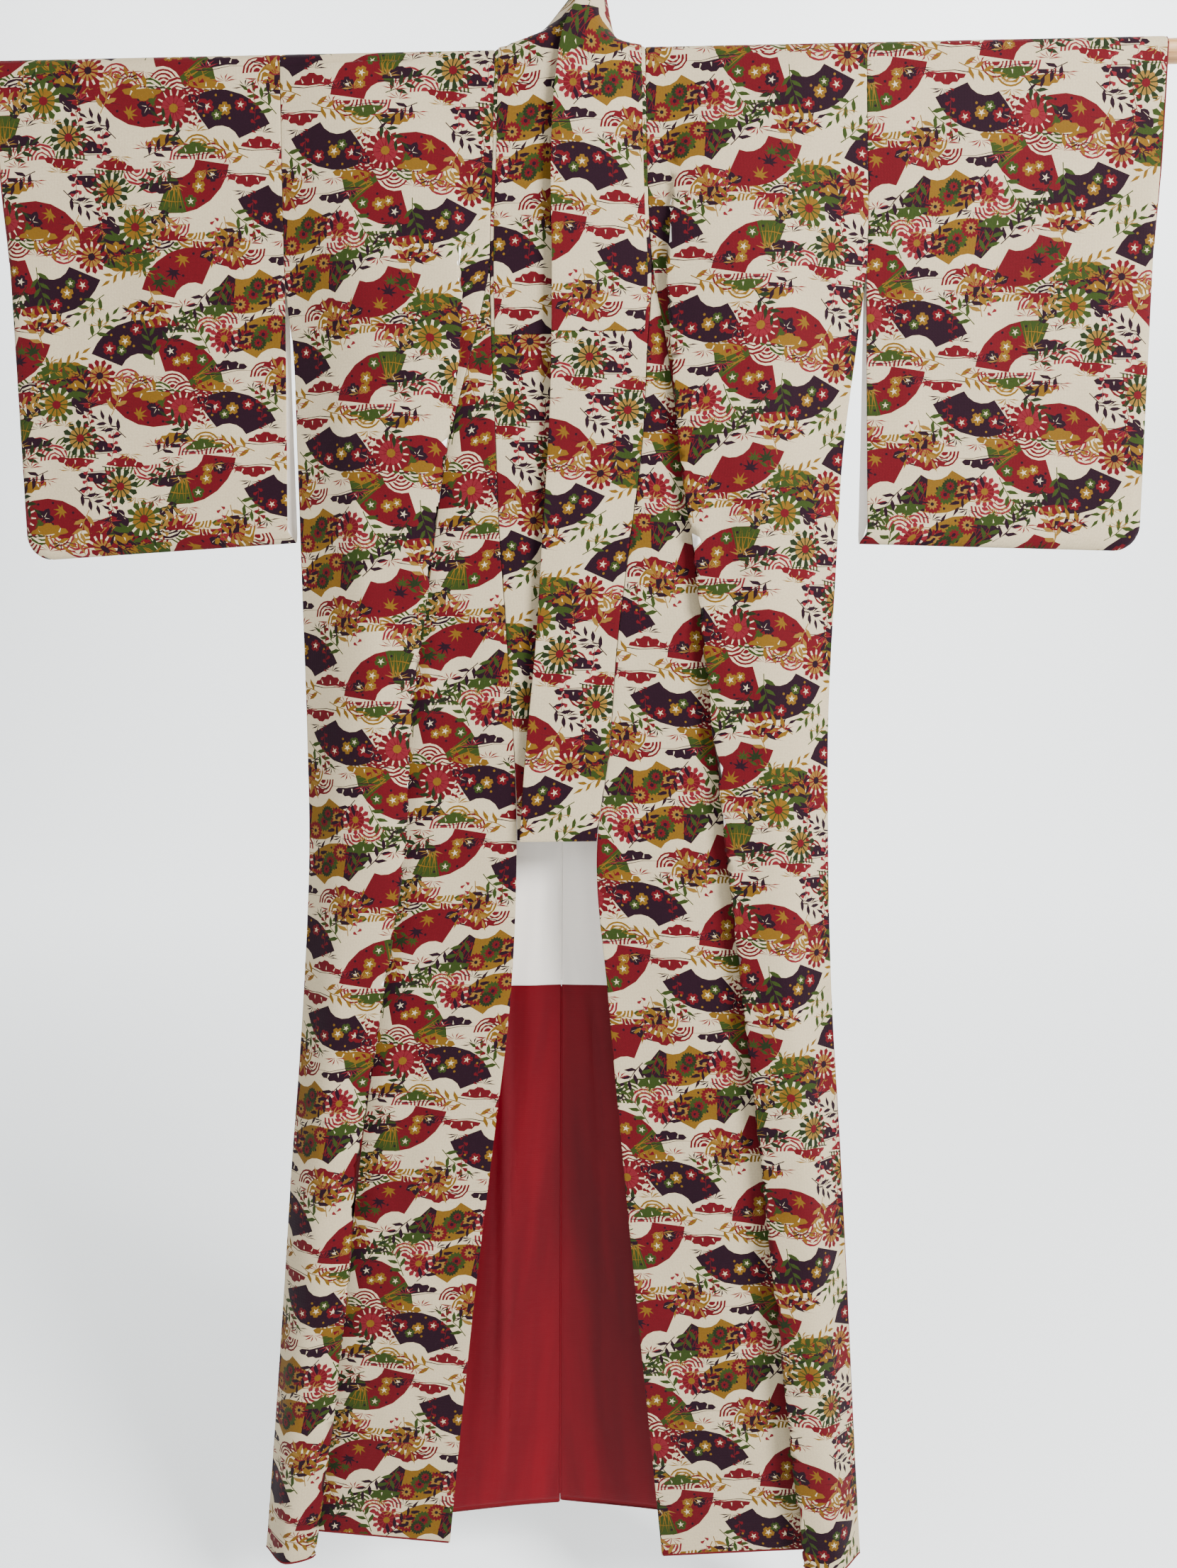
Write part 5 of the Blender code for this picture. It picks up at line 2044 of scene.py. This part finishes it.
@dataclass
class Sleeve:
    """A bag of two leaves, open at the wrist and along the side next to the body."""

    half: BodySide
    inner_low: float
    outer_low: float
    print_shift: tuple[float, float]
    surfaces: list[Surface] = field(default_factory=list)

    def outs(self, inner: float, outer: float) -> np.ndarray:
        """Places across, close together where the cloth rounds over at the outer edge."""
        wide = np.linspace(inner, outer - SLEEVE_ROUND, 40)
        return np.concatenate([wide, outer - SLEEVE_ROUND * np.cos(np.linspace(0, pi / 2, 10))[1:]])

    def depths(self) -> np.ndarray:
        """Gives the depths of the grid's rows, close together round the lower corner.

        Returns:
            The depths.
        """
        corner = self.outer_low - SLEEVE_CORNER
        turns = np.radians(np.linspace(0, 90, 19)[1:])
        upper = np.concatenate([np.arange(15, corner, 6.0), [corner]])
        return np.concatenate([upper, corner + SLEEVE_CORNER * np.sin(turns)])

    def row(self, leaf: int, depth: float) -> np.ndarray:
        """Points of one leaf at a depth.

        Args:
            leaf: -1 for the front leaf, 1 for the back one.
            depth: Millimetres below the shoulder line.

        Returns:
            Points from the body's side to the wrist.
        """
        row = row_at(SLEEVE_ROWS, depth)
        seam = row_at(self.half.body, min(depth, SLEEVE_SEWN)).edge + SEAM_GAP
        past = max(depth - (self.outer_low - SLEEVE_CORNER), 0.0)
        cut_in = SLEEVE_CORNER - sqrt(max(SLEEVE_CORNER**2 - past**2, 0.0))
        outer = SLEEVE_OUT + (SLEEVE_OUT_LOW - SLEEVE_OUT) * depth / self.outer_low - cut_in
        swing = row.front_out if leaf < 0 else row.back_out
        swing += (row.back_out - swing) * ease(1 - (self.outer_low - depth) / SLEEVE_ROUND)
        inner = seam + swing
        closed = ease(2 * depth / SLEEVE_SEWN - 1)
        bottom = rounded((self.outer_low - depth) / SLEEVE_ROUND)
        outs = self.outs(inner, outer)
        edge = rounded((outer - outs) / SLEEVE_ROUND)
        part = row.half * (1 - closed * (1 - edge)) * bottom
        share = (outs - inner) / (outer - inner)
        low = self.inner_low + (self.outer_low - self.inner_low) * share
        fall = ease((depth - SLEEVE_SEWN) / (self.outer_low - SLEEVE_SEWN))
        return placed(outs, leaf * part, depth + (low - self.outer_low) * fall, self.half.side)

    def dress(self, prints: Sequence[Repeat], finishes: Finishes) -> None:
        """Builds the sleeve and the piping round its wrist opening.

        Args:
            prints: The print of the front leaves and that of the back leaves.
            finishes: The materials.
        """
        side = self.half.side
        for leaf in (-1, 1):
            rows, along = [], []
            outs = self.outs(self.half.body[0].edge + SEAM_GAP, SLEEVE_OUT)
            for turn in ROD_TURNS:
                forward, fall = SHOULDER_RADIUS * sin(turn), SHOULDER_RADIUS * (1 - cos(turn))
                rows.append(placed(outs, leaf * forward, fall, side))
                along.append(SHOULDER_RADIUS * turn)
            rod_rows = len(rows)
            for depth in self.depths():
                rows.append(self.row(leaf, depth))
                along.append(down(depth))
            self.surfaces.append(Surface(rows, along, (0, leaf, 0), SLEEVE_CREASES, 141, -leaf, rod_rows))
        panels = [Panel(surface, 0.0, down(self.outer_low), open_top=False) for surface in self.surfaces]
        faces = [(1, printed(prints, self.print_shift, [(-side, 1), (-side, -1)])), (-1, lined())]
        name = "sleeve_" + self.half.name
        piece = shell(name + "_cloth", panels, faces, [finishes.crepe, finishes.inner_lining])
        declared(piece, [name])
        piping = self.piping(name + "_wrist_piping", finishes)

    def piping(self, name: str, finishes: Finishes) -> Object:
        """Builds the thin rolled facing that shows round the wrist opening.

        Args:
            name: The piece's name.
            finishes: The materials.

        Returns:
            The piping.
        """
        route = []
        for surface, order in zip(self.surfaces, (-1, 1)):
            v = np.arange(2.0, down(SLEEVE_SEWN * 0.92), 8.0)[::order]
            u = surface.width_at(v) - 0.2
            points, _ = surface.read(u, v)
            route.append(points)
        return tube(name, np.concatenate(route), 1.0, finishes.piping)


def tube(name: str, route: np.ndarray, radius: float, paint: Material) -> Object:
    """Builds a thin roll of cloth along a route.

    Args:
        name: The piece's name.
        route: Points in millimetres.
        radius: Its radius in millimetres.
        paint: Its material.

    Returns:
        The piece, riding on the body.
    """
    curve = bpy.data.curves.new(name, "CURVE")
    curve.dimensions = "3D"
    curve.bevel_depth = radius * MM
    curve.bevel_resolution = 2
    curve.use_fill_caps = True
    line = curve.splines.new("POLY")
    line.points.add(len(route) - 1)
    for point, place in zip(line.points, route):
        point.co = (place[0] * MM, place[1] * MM, place[2] * MM, 1)
    curve.materials.append(paint)
    piece = linked(name, curve)
    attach(piece, "root")
    return piece


@dataclass
class Collar:
    """The wide collar band from front to front round the neck, and the second collar over it."""

    right: BodySide
    left: BodySide

    def front_station(self, half: BodySide, table: Sequence[CollarFront], depth: float) -> np.ndarray:
        """Gives the band's seam, middle and free edge at a depth down one front.

        Args:
            half: The body length on that side.
            table: The free edge's rows.
            depth: Millimetres below the shoulder line.

        Returns:
            The three points.
        """
        row = row_at(half.body, depth)
        free = row_at(table, depth)
        seam_x = half.side * (row_at(half.front, depth).out - SEAM_GAP)
        seam = np.array([seam_x, row.flat_y, -depth])
        edge = np.array([free.edge_x, free.edge_y, -depth])
        middle = (seam + edge) / 2
        middle[1] += 0.12 * (edge[1] - seam[1])
        return np.array([seam, middle, edge])

    def surface(self, end: float) -> Surface:
        """Lays the band as a grid from the right front's end round the neck to the left's.

        Args:
            end: The depth at both ends.

        Returns:
            The surface, its width measured from the seam.
        """
        depths = np.concatenate([np.arange(COLLAR_FROM, end - 8, 16.0), [end]])
        stations = [self.front_station(self.right, RIGHT_COLLAR, depth) for depth in depths[::-1]]
        stations += [np.array(row, float) for row in NECK_ROWS]
        stations += [self.front_station(self.left, LEFT_COLLAR, depth) for depth in depths]
        stations = np.array(stations)
        gaps = np.linalg.norm(np.diff(stations[:, 1], axis=0), axis=1)
        gaps += np.linalg.norm(np.diff(stations[:, 0], axis=0), axis=1)
        along = np.concatenate([[0.0], np.cumsum(gaps / 2)])
        fine = np.linspace(0, along[-1], int(along[-1] / 4))
        dense = through_rows(along, stations.reshape(len(stations), 9), fine).reshape(-1, 3, 3)
        rows = []
        for station in dense:
            across = curve_through(station, (2, 2), 12)
            across[:, 2] += SHOULDER_Z
            rows.append(across)
        return Surface(rows, fine, (0, -1, 0), FRONT_CREASES, 61)

    def dress(self, prints: Sequence[Repeat], finishes: Finishes) -> None:
        """Builds the collar and the over-collar.

        Args:
            prints: The print of the front leaves and that of the back leaves.
            finishes: The materials.
        """
        band = self.surface(COLLAR_END)
        self.turn_outwards(band)
        panel = Panel(band, 0.0, float(band.along[-1]))
        faces = [(1, printed(prints, (40.0, 130.0), [(1, 1)])), (-1, lined())]
        piece = shell("collar_cloth", [panel], faces, [finishes.crepe, finishes.inner_lining])
        declared(piece, ["collar"])
        over = self.surface(OVER_COLLAR_END)
        self.turn_outwards(over)
        inset = float(np.mean(over.width)) * OVER_COLLAR_INSET * 0.5
        panel = Panel(over, 0.0, float(over.along[-1]), inset, 0.0, lift=LAYER_LIFT, wall=LINING_WALL)
        faces = [(1, printed(prints, (220.0, 40.0), [(1, 1)])), (-1, lined())]
        piece = shell("over_collar_cloth", [panel], faces, [finishes.crepe, finishes.inner_lining])
        declared(piece, ["over_collar"])
        LOG.info("collar and over-collar")

    def turn_outwards(self, band: Surface) -> None:
        """Turns the band's printed side to the viewer at its right front.

        Args:
            band: The surface, changed in place.
        """
        if band.normals[5, 10:50, 1].mean() > 0:
            band.turn = -band.turn
            band.normals = -band.normals


@dataclass
class Hanger:
    """The dowel through both sleeves and the wire hook that carries it."""

    sides: int = 40
    chamfer: float = 1.2

    def dress(self, finishes: Finishes) -> None:
        """Builds the dowel with eased ends and finishes the wire.

        Args:
            finishes: The materials.
        """
        half = ROD_LENGTH / 2
        profile = [(-half, ROD_RADIUS - self.chamfer), (-half + self.chamfer, ROD_RADIUS)]
        profile += [(x, ROD_RADIUS) for x in np.linspace(-half + 20, half - 20, 9)]
        profile += [(half - self.chamfer, ROD_RADIUS), (half, ROD_RADIUS - self.chamfer)]
        verts, faces = [], []
        for x, radius in profile:
            for k in range(self.sides):
                turn = 2 * pi * k / self.sides
                verts.append((x * MM, radius * cos(turn) * MM, (ROD_Z + radius * sin(turn)) * MM))
        for j in range(len(profile) - 1):
            for k in range(self.sides):
                a, b = j * self.sides + k, j * self.sides + (k + 1) % self.sides
                faces.append((a, b, b + self.sides, a + self.sides))
        last = (len(profile) - 1) * self.sides
        faces.append(tuple(range(self.sides))[::-1])
        faces.append(tuple(range(last, last + self.sides)))
        mesh = bpy.data.meshes.new("hanger_dowel")
        mesh.from_pydata(verts, [], faces)
        mesh.validate()
        mesh.shade_smooth()
        mesh.set_sharp_from_angle(angle=radians(30))
        mesh.materials.append(finishes.wood)
        dowel = linked("hanger_dowel", mesh)
        declared(dowel, ["hanger_rod"])
        hook = bpy.data.objects["hanger_hook"]
        hook.data.materials.clear()
        hook.data.materials.append(finishes.steel)
        hook.data.shade_smooth()
        LOG.info("dowel and hook")


@dataclass
class Studio:
    """Floor, lights and the photograph's camera."""

    floor: str = "#F1F4F5"
    camera_at: tuple[float, float, float] = (0.0494, -1.3363, -0.8234)
    tilt: float = 90 - 5.473
    pan: float = 1.609
    roll: float = -0.375
    lens: float = 27.05

    def build(self) -> None:
        """Builds the floor, the lights and the camera."""
        self.make_floor()
        middle = (0.0, 0.0, -0.9)
        self.make_light("key", (2.3, -2.3, 0.8), middle, 1.2, 380.0)
        self.make_light("fill", (-2.0, -2.8, 0.2), middle, 2.2, 80.0)
        self.make_light("backdrop_right", (3.6, 3.6, 4.9), (2.5, 8.0, -0.4), 3.6, 980.0)
        self.make_light("backdrop_left", (-3.6, 3.6, 4.9), (-2.5, 8.0, -0.4), 3.6, 640.0)
        world = bpy.data.worlds.new("studio")
        bpy.context.scene.world = world
        world.use_nodes = True
        set_inputs(world.node_tree.nodes["Background"], {"Color": linear("#D5DBDC"), "Strength": 0.42})
        camera = bpy.data.cameras.new("photograph")
        camera.lens = self.lens
        camera.sensor_width = 36.0
        camera.clip_end = 50.0
        eye = linked("photograph", camera)
        turn = Matrix.Rotation(radians(self.pan), 4, "Z") @ Matrix.Rotation(radians(self.tilt), 4, "X")
        turn = turn @ Matrix.Rotation(radians(self.roll), 4, "Z")
        eye.matrix_world = Matrix.Translation(self.camera_at) @ turn
        bpy.context.scene.camera = eye

    def make_floor(self) -> None:
        """Builds a wide plain floor below the hem, swept up far behind so that no horizon shows."""
        z = CAD_BOX[0][2] - 0.12
        sweep = [(-9.0, z), (5.0, z)]
        for turn in np.radians(np.arange(6, 91, 6)):
            sweep.append((5.0 + 3.0 * sin(turn), z + 3.0 * (1 - cos(turn))))
        sweep.append((8.0, z + 14.0))
        verts = [(side * 16.0, y, height) for y, height in sweep for side in (-1, 1)]
        faces = [(2 * k, 2 * k + 1, 2 * k + 3, 2 * k + 2) for k in range(len(sweep) - 1)]
        mesh = bpy.data.meshes.new("floor")
        mesh.from_pydata(verts, [], faces)
        mesh.shade_smooth()
        floor = linked("floor", mesh)
        material, _, shader = new_material("studio floor, painted")
        set_inputs(shader, {"Base Color": linear(self.floor), "Roughness": 0.9})
        mesh.materials.append(material)

    def make_light(
        self, name: str, at: Sequence[float], towards: Sequence[float], size: float, power: float
    ) -> None:
        """Adds a soft square light.

        Args:
            name: The light's name.
            at: Where it stands.
            towards: The point that it faces.
            size: Its side in metres.
            power: Its power in watts.
        """
        light = bpy.data.lights.new(name, "AREA")
        light.shape = "SQUARE"
        light.size = size
        light.energy = power
        lamp = linked(name, light)
        lamp.location = at
        aim = Vector(towards) - Vector(at)
        lamp.rotation_euler = aim.to_track_quat("-Z", "Y").to_euler()


def main() -> None:
    """Builds the kimono, its hanger and the studio."""
    logging.basicConfig(level=logging.INFO, format="%(name)s: %(message)s")
    finishes = make_finishes()
    prints = (Repeat(), Repeat(fine=False))
    LOG.info("print: %d triangles a repeat, %d at the back", *(len(repeat.tris) for repeat in prints))
    right = BodySide("right", -1, RIGHT_BODY, RIGHT_FRONT, 1687, 1674, 1700, (150.0, 60.0), (60.0, 210.0))
    left = BodySide("left", 1, LEFT_BODY, LEFT_FRONT, 1697, 1686, 1697, (20.0, 250.0), (250.0, 20.0))
    for half in (right, left):
        half.dress(prints, finishes)
    Sleeve(right, 519, 535, (210.0, 120.0)).dress(prints, finishes)
    Sleeve(left, 526, 536, (90.0, 30.0)).dress(prints, finishes)
    Collar(right, left).dress(prints, finishes)
    Hanger().dress(finishes)
    Studio().build()


if __name__ == "__main__":
    main()
